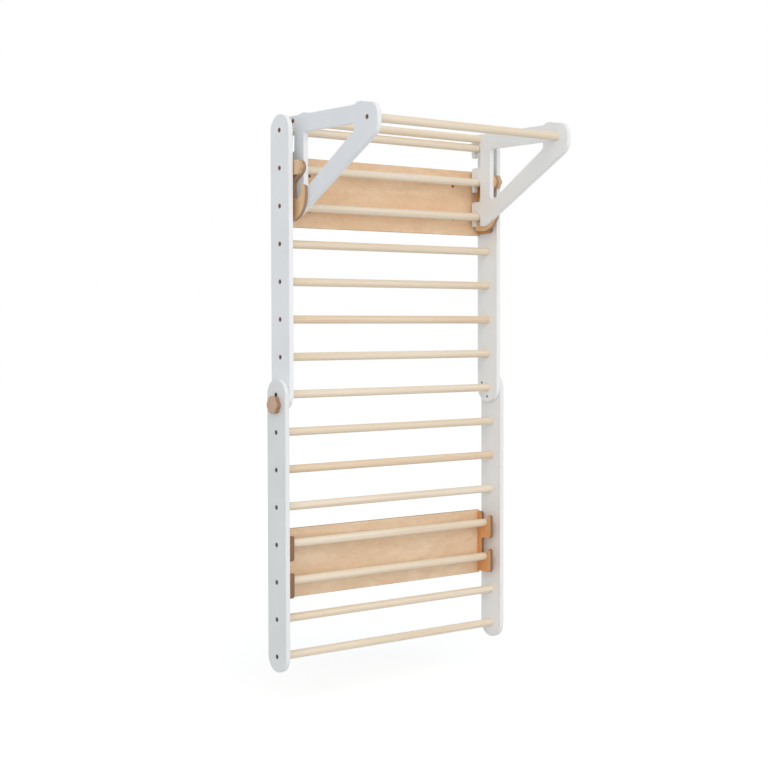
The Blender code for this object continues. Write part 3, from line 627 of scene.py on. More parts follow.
@dataclass(frozen=True)
class PlywoodFinish:
    """Clear-coated birch plywood with figured faces and striped edges.

    The lines of the figure follow the levels of the hills: they come from a sine that turns by
    contour_turn radians while the hills' noise goes from 0 to 1.
    """

    name: str
    plies: Plies
    grain: Axis
    tints: PlywoodTints
    hills: Figure = Figure(1.1, 5.0, 2.7, roughness=0.45, bend=0.35)
    contour_turn: float = 70.0
    contour_share: float = 0.20
    clouds: Figure = Figure(3.0, 9.0, 9.4, 0.35, 0.65, detail=3.0)
    mottle: Figure = Figure(26.0, 40.0, 3.6, 0.42, 0.66, 0.28, detail=4.0, roughness=0.62, bend=0.9)
    flecks: Figure = Figure(24.0, 150.0, 6.8, 0.66, 0.80, 0.30)
    fibres: Figure = Figure(12, 420, 1.9, 0.42, 0.72, 0.35, detail=3.0, roughness=0.6)
    pores: Figure = Figure(90, 1300, 7.7, 0.66, 0.76, 0.35, detail=1.0)
    end_grain: Figure = Figure(700, 700, 5.5, 0.2, 0.8)
    end_grain_least: float = 0.6
    glue: Tint = seen(96, 62, 36)
    glue_share: float = 0.55
    sheen: Sheen = Sheen(0.38, 0.50)
    edge_roughness: float = 0.12
    fibre_relief: Relief = Relief(0.00008, 0.4)
    ply_relief: Relief = Relief(0.00012, 0.5)

    def face_colour(self, recipe: Recipe, fibres: bpy.types.NodeSocket) -> bpy.types.NodeSocket:
        """Colour of the sheet's faces: rotary-cut figure, mottle, flecks, fibres and pores.

        Args:
            recipe: The material in the making.
            fibres: The fibres' noise, which the surface's relief follows too.

        Returns:
            The colour's socket.
        """
        tints = self.tints
        hills = recipe.noise(self.hills, self.grain)
        turned = recipe.math("SINE", recipe.math("MULTIPLY", hills, self.contour_turn))
        contours = recipe.math("MULTIPLY", recipe.span(turned, -1.0, 1.0), self.contour_share)
        colour = recipe.stain(tints.pale, recipe.noise(self.clouds, self.grain), self.clouds, tints.warm)
        colour = recipe.stain(colour, recipe.noise(self.mottle, self.grain), self.mottle, tints.line)
        colour = recipe.blend(contours, colour, tints.line)
        colour = recipe.stain(colour, recipe.noise(self.flecks, self.grain), self.flecks, tints.edge_dark)
        colour = recipe.stain(colour, fibres, self.fibres, tints.line)
        return recipe.stain(colour, recipe.noise(self.pores, self.grain), self.pores, tints.edge_dark)

    def edge_colour(self, recipe: Recipe, stripes: bpy.types.NodeSocket) -> bpy.types.NodeSocket:
        """Colour of the sheet's edges: pale and dark plies, end grain and glue lines.

        Args:
            recipe: The material in the making.
            stripes: The plies' stripes.

        Returns:
            The colour's socket.
        """
        end_grain = recipe.span(recipe.noise(self.end_grain), self.end_grain.low, self.end_grain.high,
                                self.end_grain_least, self.end_grain.strength)
        dark = recipe.math("MULTIPLY", stripes, end_grain)
        colour = recipe.blend(dark, self.tints.edge_pale, self.tints.edge_dark)
        lines = recipe.math("MULTIPLY", self.plies.glue_lines(recipe), self.glue_share)
        return recipe.blend(lines, colour, self.glue)

    def build(self) -> bpy.types.Material:
        """Make the material.

        Returns:
            The material.
        """
        recipe = Recipe(self.name)
        fibres = recipe.noise(self.fibres, self.grain)
        stripes = self.plies.stripes(recipe)
        on_edge = self.plies.edge_share(recipe)
        face = self.face_colour(recipe, fibres)
        edge = self.edge_colour(recipe, stripes)
        recipe.bump(fibres, self.fibre_relief)
        recipe.bump(recipe.math("MULTIPLY", stripes, on_edge), self.ply_relief)
        rougher = recipe.math("MULTIPLY", on_edge, self.edge_roughness)
        roughness = recipe.math("ADD", recipe.gloss(fibres, self.sheen), rougher)
        return recipe.finish(recipe.blend(on_edge, face, edge), roughness)


@dataclass(frozen=True)
class MetalFinish:
    """Plated steel with fine turning marks and a little tarnish."""

    name: str
    bright: Tint
    dull: Tint
    roughness: float
    roughness_range: float = 0.15
    tarnish: Figure = Figure(260, 260, 1.0, 0.4, 0.65, detail=3.0)
    marks: Figure = Figure(2600, 2600, 4.0, 0.3, 0.7, detail=1.0)
    relief: Relief = Relief(0.00002, 0.4)

    def build(self) -> bpy.types.Material:
        """Make the material.

        Returns:
            The material.
        """
        recipe = Recipe(self.name)
        marks = recipe.noise(self.marks)
        roughest = self.roughness + self.roughness_range
        sheen = Sheen(self.roughness, roughest, self.marks.low, self.marks.high)
        colour = recipe.stain(self.bright, recipe.noise(self.tarnish), self.tarnish, self.dull)
        recipe.bump(marks, self.relief)
        return recipe.finish(colour, recipe.gloss(marks, sheen), 1.0)


class Finishes:
    """Every material of the wall bars, made once."""

    # Cooler and darker on the left, warmer or brighter on the right; edges painted lighter or darker than
    # faces.
    # Painted light and shade: one lacquer, given its own white per plate and side for the light on it.
    whites: dict[tuple[Lacquered, Side], Whites] = {
        (Lacquered.UPPER_PLANK, Side.LEFT): Whites((0.859, 0.882, 0.900), (0.900, 0.916, 0.934)),
        (Lacquered.UPPER_PLANK, Side.RIGHT): Whites((0.895, 0.890, 0.875), (0.885, 0.885, 0.882)),
        (Lacquered.LOWER_PLANK, Side.LEFT): Whites((0.786, 0.813, 0.813), (0.838, 0.860, 0.868)),
        (Lacquered.LOWER_PLANK, Side.RIGHT): Whites((0.870, 0.862, 0.848), (0.862, 0.860, 0.854)),
        (Lacquered.BRACKET, Side.LEFT): Whites((0.825, 0.855, 0.888), (0.890, 0.910, 0.930)),
        (Lacquered.BRACKET, Side.RIGHT): Whites((0.896, 0.915, 0.926), (0.900, 0.905, 0.910)),
    }
    # Painted shade: bare wood darkened and greyed for the shade in the countersinks round the screws.
    bare_wood: dict[Lacquered, BareWood] = {
        Lacquered.UPPER_PLANK: BareWood(seen(168, 142, 138), seen(130, 104, 102)),
        Lacquered.LOWER_PLANK: BareWood(seen(150, 142, 136), seen(112, 104, 100)),
        Lacquered.BRACKET: BareWood(seen(186, 150, 124), seen(150, 116, 94)),
    }
    board_tints: dict[Level, PlywoodTints] = {
        Level.UPPER: PlywoodTints(seen(248, 221, 189), seen(240, 205, 168), seen(215, 175, 133),
                                  seen(226, 190, 146), seen(172, 122, 76)),
        Level.LOWER: PlywoodTints(seen(241, 218, 190), seen(232, 203, 170), seen(206, 172, 135),
                                  seen(220, 190, 150), seen(168, 122, 80)),
    }
    # Painted shade: the edge tints are darkened and greyed for the shade on the cheeks' edges; the ply
    # stripes are real.
    cheek_tints: PlywoodTints = PlywoodTints(
        seen(236, 180, 124), seen(228, 162, 102), seen(200, 134, 78),
        seen(150, 120, 98), seen(104, 80, 62))
    # Painted shade: the edge tints are darkened and greyed for the shade on the latch's edges; the ply
    # stripes are real.
    latch_tints: PlywoodTints = PlywoodTints(
        seen(245, 214, 173), seen(236, 197, 150), seen(208, 163, 116),
        seen(190, 156, 126), seen(138, 106, 82))
    latch_knob_tints: PlywoodTints = PlywoodTints(
        seen(236, 206, 172), seen(226, 190, 150), seen(198, 156, 116),
        seen(230, 196, 156), seen(172, 134, 98))
    # Painted shade: the edge tints are darkened for the shade on the knob's rim; the ply stripes are real.
    fold_knob_tints: PlywoodTints = PlywoodTints(
        seen(216, 184, 156), seen(204, 163, 131), seen(166, 122, 96),
        seen(186, 148, 120), seen(122, 86, 66))

    def __init__(self) -> None:
        """Make them all."""
        self.lacquer = {(kind, side): self.make_lacquer(kind, side)
                        for kind in Lacquered for side in Side}
        self.board = {level: self.make_board(level) for level in Level}
        self.cheek = self.make_upright("cheek", "upper_mount_cheek", Sheet.THIN, self.cheek_tints)
        self.latch = self.make_upright("latch", "latch_plate", Sheet.THIN, self.latch_tints)
        self.latch_knob = self.make_upright("latch_knob", "latch_knob", Sheet.MIDDLE,
                                            self.latch_knob_tints)
        self.fold_knob = self.make_upright("fold_knob", "fold_knob", Sheet.THICK,
                                           self.fold_knob_tints)
        self.dowel = DowelFinish("birch_dowel", seen(241, 229, 210), seen(235, 219, 195),
                                 seen(217, 193, 161)).build()
        self.warm_dowel = DowelFinish("birch_dowel_warm", seen(238, 219, 193), seen(229, 204, 173),
                                      seen(207, 174, 137)).build()
        self.zinc = MetalFinish("dull_zinc", seen(176, 176, 172), seen(120, 120, 116), 0.38).build()
        self.black_steel = MetalFinish("black_steel", seen(80, 76, 66), seen(54, 52, 46), 0.45).build()
        self.grey_steel = MetalFinish("grey_steel", seen(116, 112, 110), seen(84, 81, 81), 0.45).build()
        self.bronze = MetalFinish("bronze_plate", seen(138, 114, 113), seen(102, 83, 84), 0.42).build()
        self.brown_bronze = MetalFinish("brown_bronze", seen(172, 138, 108), seen(128, 98, 74),
                                        0.42).build()

    def make_lacquer(self, kind: Lacquered, side: Side) -> bpy.types.Material:
        """Make a piece's lacquer, with painted light and bare wood in painted shade round its dowels'
        screws.

        Args:
            kind: Kind of plate.
            side: Side of the ladder.

        Returns:
            The material.
        """
        top_rung = middle_of("rung_00")
        places = (top_rung,)
        pitch = top_rung[1] - middle_of("rung_01")[1]
        if kind is Lacquered.BRACKET:
            places = (middle_of("pull_up_bar"), middle_of("cross_bar"))
            pitch = 0.0
        plies = Plies(Axis.X, inner_x(kind.value), Sheet.THICK)
        return PaintFinish(f"paint_{kind.word}_{side.word}", plies, places, pitch,
                           self.whites[kind, side], self.bare_wood[kind]).build()

    def make_board(self, level: Level) -> bpy.types.Material:
        """Make the plywood of a board, whose back lies at Y = 0."""
        plies = Plies(Axis.Y, 0.0, Sheet.MIDDLE)
        return PlywoodFinish(f"birch_{level.value}_board", plies, Axis.X, self.board_tints[level]).build()

    def make_upright(self, word: str, kind: str, sheet: Sheet, tints: PlywoodTints) -> bpy.types.Material:
        """Make the plywood of a pair of upright plates.

        Args:
            word: The material's word.
            kind: The first words of the pair's nodes.
            sheet: Sheet that they are cut from.
            tints: Its colours.

        Returns:
            The material.
        """
        plies = Plies(Axis.X, inner_x(kind), sheet)
        return PlywoodFinish(f"birch_{word}", plies, Axis.Z, tints).build()


class Workshop:
    """Shared ways to make a piece and hang it on its body.

    Angles are in degrees. A face of a plate is part of a rim where its normal's part along the plate's
    thickness lies between rim_from and rim_to. The corner of a face takes its normal from the flats
    within flat_reach of it, or within rim_reach if it is part of a rim.
    """

    turned_merge: float = 1e-6
    plate_merge: float = 2e-6
    rim_angle: float = 50.0
    rim_from: float = 0.08
    rim_to: float = 0.95
    rim_reach: float = 50.0
    flat_reach: float = 28.0
    wood_sharp: float = 40.0
    metal_sharp: float = 30.0

    def __init__(self, finishes: Finishes) -> None:
        """Keep the finishes at hand."""
        self.finishes = finishes

    def body_of(self, node: str) -> str:
        """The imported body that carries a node."""
        return frame["nodes"][node]["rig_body"]

    def hang(self, mesh: bpy.types.Mesh, body: str, materials: list[bpy.types.Material],
             replaced: tuple[str, ...] = ()) -> None:
        """Make a mesh a piece of the object.

        Args:
            mesh: The finished mesh, in place; the piece takes its name.
            body: Body that it moves with.
            materials: Its materials, in the order of its faces' numbers.
            replaced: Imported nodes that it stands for.
        """
        mesh.materials.clear()
        for material in materials:
            mesh.materials.append(material)
        piece = bpy.data.objects.new(mesh.name, mesh)
        bpy.context.scene.collection.objects.link(piece)
        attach(piece, body)
        if replaced:
            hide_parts(*replaced)
        LOG.info("%s rides on %s, %d faces", piece.name, body, len(mesh.polygons))

    def replace(self, node: str, mesh: bpy.types.Mesh, slot: Slot,
                *materials: bpy.types.Material) -> None:
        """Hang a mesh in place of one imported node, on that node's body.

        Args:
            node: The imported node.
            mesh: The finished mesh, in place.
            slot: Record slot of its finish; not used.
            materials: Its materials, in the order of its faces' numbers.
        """
        self.hang(mesh, self.body_of(node), list(materials), (node,))

    def turned(self, profile: list[Place], sides: int, closed: bool = False) -> bmesh.types.BMesh:
        """Turn a profile round the X axis.

        Args:
            profile: Points as (distance along the axis, radius).
            sides: Sides of the turned shape.
            closed: Whether the profile is a loop, as for a sleeve.

        Returns:
            The turned shape, at the origin with its outer end towards +X.
        """
        work = bmesh.new()
        made = [work.verts.new((distance, 0.0, radius)) for distance, radius in profile]
        edges = [work.edges.new(pair) for pair in zip(made, made[1:])]
        if closed:
            edges.append(work.edges.new((made[-1], made[0])))
        bmesh.ops.spin(work, geom=made + edges, cent=(0, 0, 0), axis=(1, 0, 0), angle=2 * math.pi,
                       steps=sides, use_merge=True)
        bmesh.ops.remove_doubles(work, verts=work.verts[:], dist=self.turned_merge)
        bmesh.ops.recalc_face_normals(work, faces=work.faces[:])
        return work

    def place(self, work: bmesh.types.BMesh, centre: Point, facing: Facing = Facing.RIGHT) -> None:
        """Turn a shape's outer end to where it faces, and carry it to its place."""
        turn = Matrix.Rotation(facing.value, 4, "Z")
        bmesh.ops.transform(work, matrix=Matrix.Translation(centre) @ turn, verts=work.verts[:])

    def rims(self, work: bmesh.types.BMesh) -> list[bmesh.types.BMEdge]:
        """The edges that are sharper than a rim's angle."""
        return [edge for edge in work.edges if edge.calc_face_angle(0) > math.radians(self.rim_angle)]

    def round_off(self, work: bmesh.types.BMesh, edges: list[bmesh.types.BMEdge], radius: float,
                  segments: int) -> None:
        """Round some edges of a shape.

        Args:
            work: The shape.
            edges: The edges to round.
            radius: Radius of the rounding.
            segments: Facets across it.
        """
        bmesh.ops.bevel(work, geom=edges, offset=radius, offset_type="OFFSET", affect="EDGES",
                        segments=segments, profile=0.5, material=-1, clamp_overlap=True)

    def shaded(self, name: str, work: bmesh.types.BMesh, sharp: float) -> bpy.types.Mesh:
        """Turn a bmesh into a smooth-shaded mesh with crisp edges.

        Args:
            name: Name of the mesh.
            work: The shape, which is used up.
            sharp: Angle from which an edge stays crisp.

        Returns:
            The mesh.
        """
        mesh = bpy.data.meshes.new(name)
        work.to_mesh(mesh)
        work.free()
        mesh.shade_smooth()
        mesh.set_sharp_from_angle(angle=math.radians(sharp))
        return mesh

    def replace_turned(self, node: str, work: bmesh.types.BMesh, side: Side, word: str,
                       material: bpy.types.Material) -> None:
        """Carry a turned metal part to its node's axis, and hang it there in the node's place.

        Args:
            node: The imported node.
            work: The turned shape, with its ends at their distances from the middle of the ladder.
            side: Side of the ladder.
            word: Last word of the piece's name.
            material: Its metal.
        """
        self.place(work, (0, *middle_of(node)), side.facing)
        self.replace(node, self.shaded(f"{node}_{word}", work, self.metal_sharp), Slot.ZINC, material)

    def replace_plate(self, node: str, name: str, thickness: Axis, slot: Slot,
                      material: bpy.types.Material) -> None:
        """Hang a softened copy of a packed plate in its place.

        Args:
            node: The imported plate.
            name: Name of the piece.
            thickness: Axis through the plate.
            slot: Record slot of its finish.
            material: Its finish.
        """
        self.replace(node, self.softened(node, name, thickness), slot, material)

    def replace_lacquered(self, kind: Lacquered, side: Side) -> None:
        """Hang a lacquered plate in place of its node."""
        self.replace_plate(f"{kind.value}_{side.word}", f"{kind.word}_{side.word}", Axis.X, Slot.PAINT,
                           self.finishes.lacquer[kind, side])

    def softened(self, node: str, name: str, thickness: Axis) -> bpy.types.Mesh:
        """Copy a packed plate, joined up, with its flats kept flat and its rims shaded round.

        Args:
            node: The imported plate.
            name: Name of the copy.
            thickness: Axis through the plate.

        Returns:
            The copy's mesh.
        """
        work = bmesh.new()
        work.from_mesh(frame["nodes"][node].data)
        bmesh.ops.remove_doubles(work, verts=work.verts[:], dist=self.plate_merge)
        work.normal_update()
        normals = [self.corner_normal(loop, thickness) for face in work.faces for loop in face.loops]
        mesh = bpy.data.meshes.new(name)
        work.to_mesh(mesh)
        work.free()
        mesh.shade_smooth()
        mesh.normals_split_custom_set(normals)
        return mesh

    def corner_normal(self, loop: bmesh.types.BMLoop, thickness: Axis) -> Vector:
        """Normal of one corner of a face, from the flats and sides that meet there.

        Args:
            loop: The corner.
            thickness: Axis through the plate.

        Returns:
            The normal, or the face's own where no flat or side is within reach.
        """
        own = loop.face.normal
        reach = self.rim_reach if self.is_rim(own, thickness) else self.flat_reach
        limit = math.cos(math.radians(reach))
        total = Vector((0, 0, 0))
        for face in loop.vert.link_faces:
            if not self.is_rim(face.normal, thickness) and face.normal.dot(own) > limit:
                total += face.normal * face.calc_area()
        return total.normalized() if total.length > 0 else own.copy()

    def is_rim(self, normal: Vector, thickness: Axis) -> bool:
        """Whether a face slopes between a plate's face and its side."""
        return self.rim_from < abs(normal[thickness.value]) < self.rim_to


@dataclass(frozen=True)
class HexagonSocket:
    """Hexagon socket in a head; its points are found by their radius, give or take the slack."""

    radius: float
    depth: float
    slack: float = 1e-5

    def press(self, work: bmesh.types.BMesh) -> None:
        """Push a turned shape's round socket in to six flats.

        Args:
            work: The shape, with its axis on X.
        """
        sixth = math.pi / 3
        for vert in work.verts:
            if abs(math.hypot(vert.co.y, vert.co.z) - self.radius) < self.slack:
                angle = math.atan2(vert.co.z, vert.co.y)
                flat = math.cos(sixth / 2) / math.cos((angle + sixth / 2) % sixth - sixth / 2)
                vert.co.y *= flat
                vert.co.z *= flat


@dataclass
class Screw:
    """Countersunk screw with a hexagon socket."""

    name: str
    head: Point
    facing: Facing
    body: str
    material: bpy.types.Material
    replaced: tuple[str, ...] = ()
    head_radius: float = 0.0058
    head_depth: float = 0.0033
    rim: float = 0.0004
    shank_radius: float = 0.0025
    length: float = 0.030
    point: float = 0.002
    socket: HexagonSocket = HexagonSocket(0.0031, 0.0024)
    sides: int = 24
    sharp: float = 35.0

    def build(self, shop: Workshop) -> None:
        """Turn the screw, sink its socket and hang it on its body.

        Args:
            shop: The workshop.
        """
        floor = -self.socket.depth
        profile = [(floor, 0), (floor, self.socket.radius), (0, self.socket.radius),
                   (0, self.head_radius), (-self.rim, self.head_radius),
                   (-self.head_depth, self.shank_radius),
                   (self.point - self.length, self.shank_radius), (-self.length, 0)]
        work = shop.turned(profile, self.sides)
        self.socket.press(work)
        shop.place(work, self.head, self.facing)
        mesh = shop.shaded(self.name, work, self.sharp)
        shop.hang(mesh, self.body, [self.material], self.replaced)


@dataclass
class Dowel:
    """Round birch dowel along X, with a screw in each end.

    The screws lie in faces at screw_face from the middle of the ladder, and 0 leaves them out.
    """

    node: str
    half_length: float
    screw_face: float
    material: bpy.types.Material
    screw_material: bpy.types.Material
    radius: float = 0.014
    end_round: float = 0.0008
    end_segments: int = 3
    sides: int = 48
    screw_recess: float = 0.0008

    def build(self, shop: Workshop) -> None:
        """Turn the dowel in place of its node, and set its screws.

        Args:
            shop: The workshop.
        """
        place = middle_of(self.node)
        profile = [(-self.half_length, 0), (-self.half_length, self.radius),
                   (self.half_length, self.radius), (self.half_length, 0)]
        work = shop.turned(profile, self.sides)
        shop.round_off(work, shop.rims(work), self.end_round, self.end_segments)
        shop.place(work, (0, *place))
        mesh = shop.shaded(f"{self.node}_dowel", work, shop.wood_sharp)
        shop.replace(self.node, mesh, Slot.RUNG, self.material)
        if self.screw_face > 0:
            for side in Side:
                head = (side.value * (self.screw_face - self.screw_recess), *place)
                Screw(f"{self.node}_screw_{side.word}", head, side.facing, shop.body_of(self.node),
                      self.screw_material).build(shop)


@dataclass
class Knob:
    """Lobed plywood knob with a blind bore for its stud."""

    kind: str
    side: Side
    material: bpy.types.Material
    radius: float
    thickness: float
    lobes: int = 6
    lobe_depth: float = 0.12
    rim: float = 0.0022
    rim_segments: int = 4
    sides: int = 96
    bore_radius: float = 0.0033
    bore_depth: float = 0.0113

    def build(self, shop: Workshop) -> None:
        """Draw the lobed face round its bore, thicken it, sink the bore and round its rims.

        Args:
            shop: The workshop.
        """
        node = f"{self.kind}_{self.side.word}"
        work = bmesh.new()
        outline = self.draw_outline(work)
        bore = self.draw_circle(work, self.bore_radius)
        bmesh.ops.bridge_loops(work, edges=outline + bore)
        self.extend(work, outline, self.thickness)
        self.extend(work, bore, self.bore_depth)
        bmesh.ops.recalc_face_normals(work, faces=work.faces[:])
        outer_rims = [edge for edge in shop.rims(work) if edge.verts[0].co.xy.length > self.radius / 2]
        shop.round_off(work, outer_rims, self.rim, self.rim_segments)
        upright = Matrix(((0, 0, 1), (1, 0, 0), (0, 1, 0))).to_4x4()
        bmesh.ops.transform(work, matrix=upright, verts=work.verts[:])
        shop.place(work, (self.side.value * inner_x(self.kind), *middle_of(node)), self.side.facing)
        mesh = shop.shaded(f"{node}_lobed", work, shop.wood_sharp)
        shop.replace(node, mesh, Slot.HOOK, self.material)

    def draw_circle(self, work: bmesh.types.BMesh, radius: float) -> list[bmesh.types.BMEdge]:
        """Draw a ring of edges on the knob's inner face."""
        made = bmesh.ops.create_circle(work, cap_ends=False, segments=self.sides, radius=radius)["verts"]
        return list(dict.fromkeys(edge for vert in made for edge in vert.link_edges))

    def draw_outline(self, work: bmesh.types.BMesh) -> list[bmesh.types.BMEdge]:
        """Draw the knob's outline, with its finger hollows.

        Args:
            work: The shape, which is still empty.

        Returns:
            The outline's edges.
        """
        ring = self.draw_circle(work, self.radius)
        for vert in work.verts:
            angle = math.atan2(vert.co.y, vert.co.x)
            hollow = (0.5 - 0.5 * math.cos(self.lobes * angle)) ** 2
            vert.co *= 1 - self.lobe_depth * hollow
        return ring

    def extend(self, work: bmesh.types.BMesh, ring: list[bmesh.types.BMEdge], reach: float) -> None:
        """Carry a ring of edges outwards and close its far end.

        Args:
            work: The shape.
            ring: The ring's edges.
            reach: How far they are carried.
        """
        grown = bmesh.ops.extrude_edge_only(work, edges=ring)["geom"]
        far = [item for item in grown if isinstance(item, bmesh.types.BMVert)]
        far_edges = [item for item in grown if isinstance(item, bmesh.types.BMEdge) and item.is_boundary]
        bmesh.ops.translate(work, verts=far, vec=(0, 0, reach))
        bmesh.ops.edgeloop_fill(work, edges=far_edges)


@dataclass
class Sleeve:
    """Threaded zinc sleeve along X, ridged inside."""

    kind: str
    side: Side
    bore: float = 0.0033
    wall: float = 0.002
    thread: float = 0.0004
    ridge_pitch: float = 0.0015
    sides: int = 28

    def build(self, shop: Workshop) -> None:
        """Turn the sleeve in place of its node.

        Args:
            shop: The workshop.
        """
        node = f"{self.kind}_{self.side.word}"
        inner, outer = ends_of(node)
        ridges = round((outer - inner) / self.ridge_pitch)
        step = (outer - inner) / ridges
        profile = [(inner, self.bore + self.wall), (outer, self.bore + self.wall)]
        for number in range(ridges):
            top = outer - number * step
            profile += [(top, self.bore + self.thread), (top - step / 2, self.bore)]
        profile.append((inner, self.bore + self.thread))
        work = shop.turned(profile, self.sides, closed=True)
        shop.replace_turned(node, work, self.side, "threaded", shop.finishes.zinc)


@dataclass
class Stud:
    """Threaded zinc stud of a knob, along X."""

    kind: str
    side: Side
    radius: float = 0.003
    thread: float = 0.0004
    ridge_pitch: float = 0.001
    chamfer: float = 0.0006
    sides: int = 24

    def build(self, shop: Workshop) -> None:
        """Turn the stud in place of its node.

        Args:
            shop: The workshop.
        """
        node = f"{self.kind}_{self.side.word}"
        inner, outer = ends_of(node)
        ridges = round((outer - inner - self.chamfer) / self.ridge_pitch)
        step = (outer - inner - self.chamfer) / ridges
        root = self.radius - self.thread
        profile = [(inner, 0), (inner, root)]
        for number in range(ridges):
            start = inner + self.chamfer + number * step
            profile += [(start, self.radius), (start + step / 2, root)]
        profile += [(outer, root), (outer, 0)]
        work = shop.turned(profile, self.sides)
        shop.replace_turned(node, work, self.side, "threaded", shop.finishes.zinc)


@dataclass
class PivotBolt:
    """Black cap screw that the lower section swings on."""

    side: Side
    head_radius: float = 0.007
    head_height: float = 0.004
    shank_radius: float = 0.004
    rim: float = 0.0006
    socket: HexagonSocket = HexagonSocket(0.0036, 0.0025)
    sides: int = 36

    def build(self, shop: Workshop) -> None:
        """Turn the bolt in place of its node, with its hexagon socket.

        Args:
            shop: The workshop.
        """
        node = f"pivot_bolt_{self.side.word}"
        tip, head = ends_of(node)
        neck = head - self.head_height
        floor = head - self.socket.depth
        profile = [(tip, 0), (tip, self.shank_radius - self.rim), (tip + self.rim, self.shank_radius),
                   (neck, self.shank_radius), (neck, self.head_radius),
                   (head - self.rim, self.head_radius), (head, self.head_radius - self.rim),
                   (head, self.socket.radius), (floor, self.socket.radius), (floor, 0)]
        work = shop.turned(profile, self.sides)
        self.socket.press(work)
        shop.replace_turned(node, work, self.side, "turned", shop.finishes.black_steel)


@dataclass
class Ladder:
    """Upper and lower planks with their rungs, sleeves and pivot bolts."""

    rungs: int = 15
    fold_rung: int = 7
    warm_rungs: tuple[int, ...] = (5, 9)
    rung_recess: float = 0.008

    def build(self, shop: Workshop) -> None:
        """Dress both sections.

        Args:
            shop: The workshop.
        """
        for side in Side:
            shop.replace_lacquered(Lacquered.UPPER_PLANK, side)
            shop.replace_lacquered(Lacquered.LOWER_PLANK, side)
            PivotBolt(side).build(shop)
            Sleeve("straight_lock_sleeve", side).build(shop)
            Sleeve("folded_lock_sleeve", side).build(shop)
        for index in range(self.rungs):
            self.build_rung(shop, index)

    def build_rung(self, shop: Workshop, index: int) -> None:
        """Dress one rung; the one on the fold's axis has bolts in place of screws.

        Args:
            shop: The workshop.
            index: The rung's number, from 0 at the top.
        """
        upper = index <= self.fold_rung
        plank = (Lacquered.UPPER_PLANK if upper else Lacquered.LOWER_PLANK).value
        half_length = inner_x(plank) + self.rung_recess
        screw_face = 0.0 if index == self.fold_rung else outer_x(plank)
        wood = shop.finishes.warm_dowel if index in self.warm_rungs else shop.finishes.dowel
        metal = shop.finishes.bronze if upper else shop.finishes.grey_steel
        Dowel(f"rung_{index:02d}", half_length, screw_face, wood, metal).build(shop)


@dataclass
class WallMount:
    """A board with two hook cheeks and four wall screws."""

    level: Level
    screw_recess: float = 0.0008
    screw_radius: float = 0.003
    screw_length: float = 0.0139
    front_slack: float = 0.0002

    def build(self, shop: Workshop) -> None:
        """Dress the mount.

        Args:
            shop: The workshop.
        """
        name = self.level.value
        board = f"{name}_mount_board"
        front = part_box(board)[0][1]
        shop.replace_plate(board, f"{name}_board", Axis.Y, Slot.BOARD, shop.finishes.board[self.level])
        for side in Side:
            self.build_cheek(shop, side, front)
            for row in Level:
                self.build_wall_screw(shop, f"{name}_wall_screw_{row.value}_{side.word}", front)

    def build_cheek(self, shop: Workshop, side: Side, front: float) -> None:
        """Dress a cheek, whose only faces behind the board's front are its screws.

        Args:
            shop: The workshop.
            side: Side of the ladder.
            front: Y of the board's front face.
        """
        name = self.level.value
        node = f"{name}_mount_cheek_{side.word}"
        mesh = shop.softened(node, f"{name}_cheek_{side.word}", Axis.X)
        for face in mesh.polygons:
            face.material_index = 1 if face.center.y > front + self.front_slack else 0
        shop.replace(node, mesh, Slot.HOOK, shop.finishes.cheek, shop.finishes.bronze)

    def build_wall_screw(self, shop: Workshop, node: str, front: float) -> None:
        """Turn a wall screw in place of its node.

        Args:
            shop: The workshop.
            node: The screw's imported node.
            front: Y of the board's front face.
        """
        low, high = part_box(node)
        head = ((low[0] + high[0]) / 2, front + self.screw_recess, (low[2] + high[2]) / 2)
        Screw(f"{node}_turned", head, Facing.ROOM, shop.body_of(node), shop.finishes.brown_bronze,
              replaced=(node,), shank_radius=self.screw_radius, length=self.screw_length).build(shop)


@dataclass
class PullUpFrame:
    """Brackets, front bar, cross bar and the latches' sleeves."""

    bar_recess: float = 0.008
    cross_bar_gap: float = 0.0003

    def build(self, shop: Workshop) -> None:
        """Dress the frame.

        Args:
            shop: The workshop.
        """
        for side in Side:
            shop.replace_lacquered(Lacquered.BRACKET, side)
            Sleeve("latch_sleeve", side).build(shop)
        inner = inner_x(Lacquered.BRACKET.value)
        outer = outer_x(Lacquered.BRACKET.value)
        wood = shop.finishes.dowel
        metal = shop.finishes.bronze
        Dowel("pull_up_bar", inner + self.bar_recess, outer, wood, metal).build(shop)
        Dowel("cross_bar", inner - self.cross_bar_gap, outer, wood, metal).build(shop)


@dataclass
class Latch:
    """Swinging hook under the third rung, with its clamping knob."""

    side: Side
    knob_radius: float = 0.0265
    knob_thickness: float = 0.015

    def build(self, shop: Workshop) -> None:
        """Dress the latch, its knob and the knob's stud.

        Args:
            shop: The workshop.
        """
        shop.replace_plate(f"latch_plate_{self.side.word}", f"latch_{self.side.word}", Axis.X, Slot.HOOK,
                           shop.finishes.latch)
        Knob("latch_knob", self.side, shop.finishes.latch_knob, self.knob_radius,
             self.knob_thickness).build(shop)
        Stud("latch_knob_stud", self.side).build(shop)


@dataclass
class FoldLock:
    """Knob that locks the fold at one side."""

    side: Side
    knob_radius: float = 0.030
    knob_thickness: float = 0.018

    def build(self, shop: Workshop) -> None:
        """Dress the knob and its stud.

        Args:
            shop: The workshop.
        """
        Knob("fold_knob", self.side, shop.finishes.fold_knob, self.knob_radius,
             self.knob_thickness).build(shop)
        Stud("fold_knob_stud", self.side).build(shop)


@dataclass(frozen=True)
class Lamp:
    """A wide soft sun."""

    name: str
    towards: Point
    strength: float
    tint: Tint
    spread: float = 90.0

    def build(self) -> None:
        """Hang the lamp."""
        light = bpy.data.lights.new(self.name, "SUN")
        light.energy = self.strength
        light.color = self.tint
        light.angle = math.radians(self.spread)
        lamp = bpy.data.objects.new(self.name, light)
        lamp.rotation_euler = Vector(self.towards).to_track_quat("-Z", "Y").to_euler()
        bpy.context.scene.collection.objects.link(lamp)


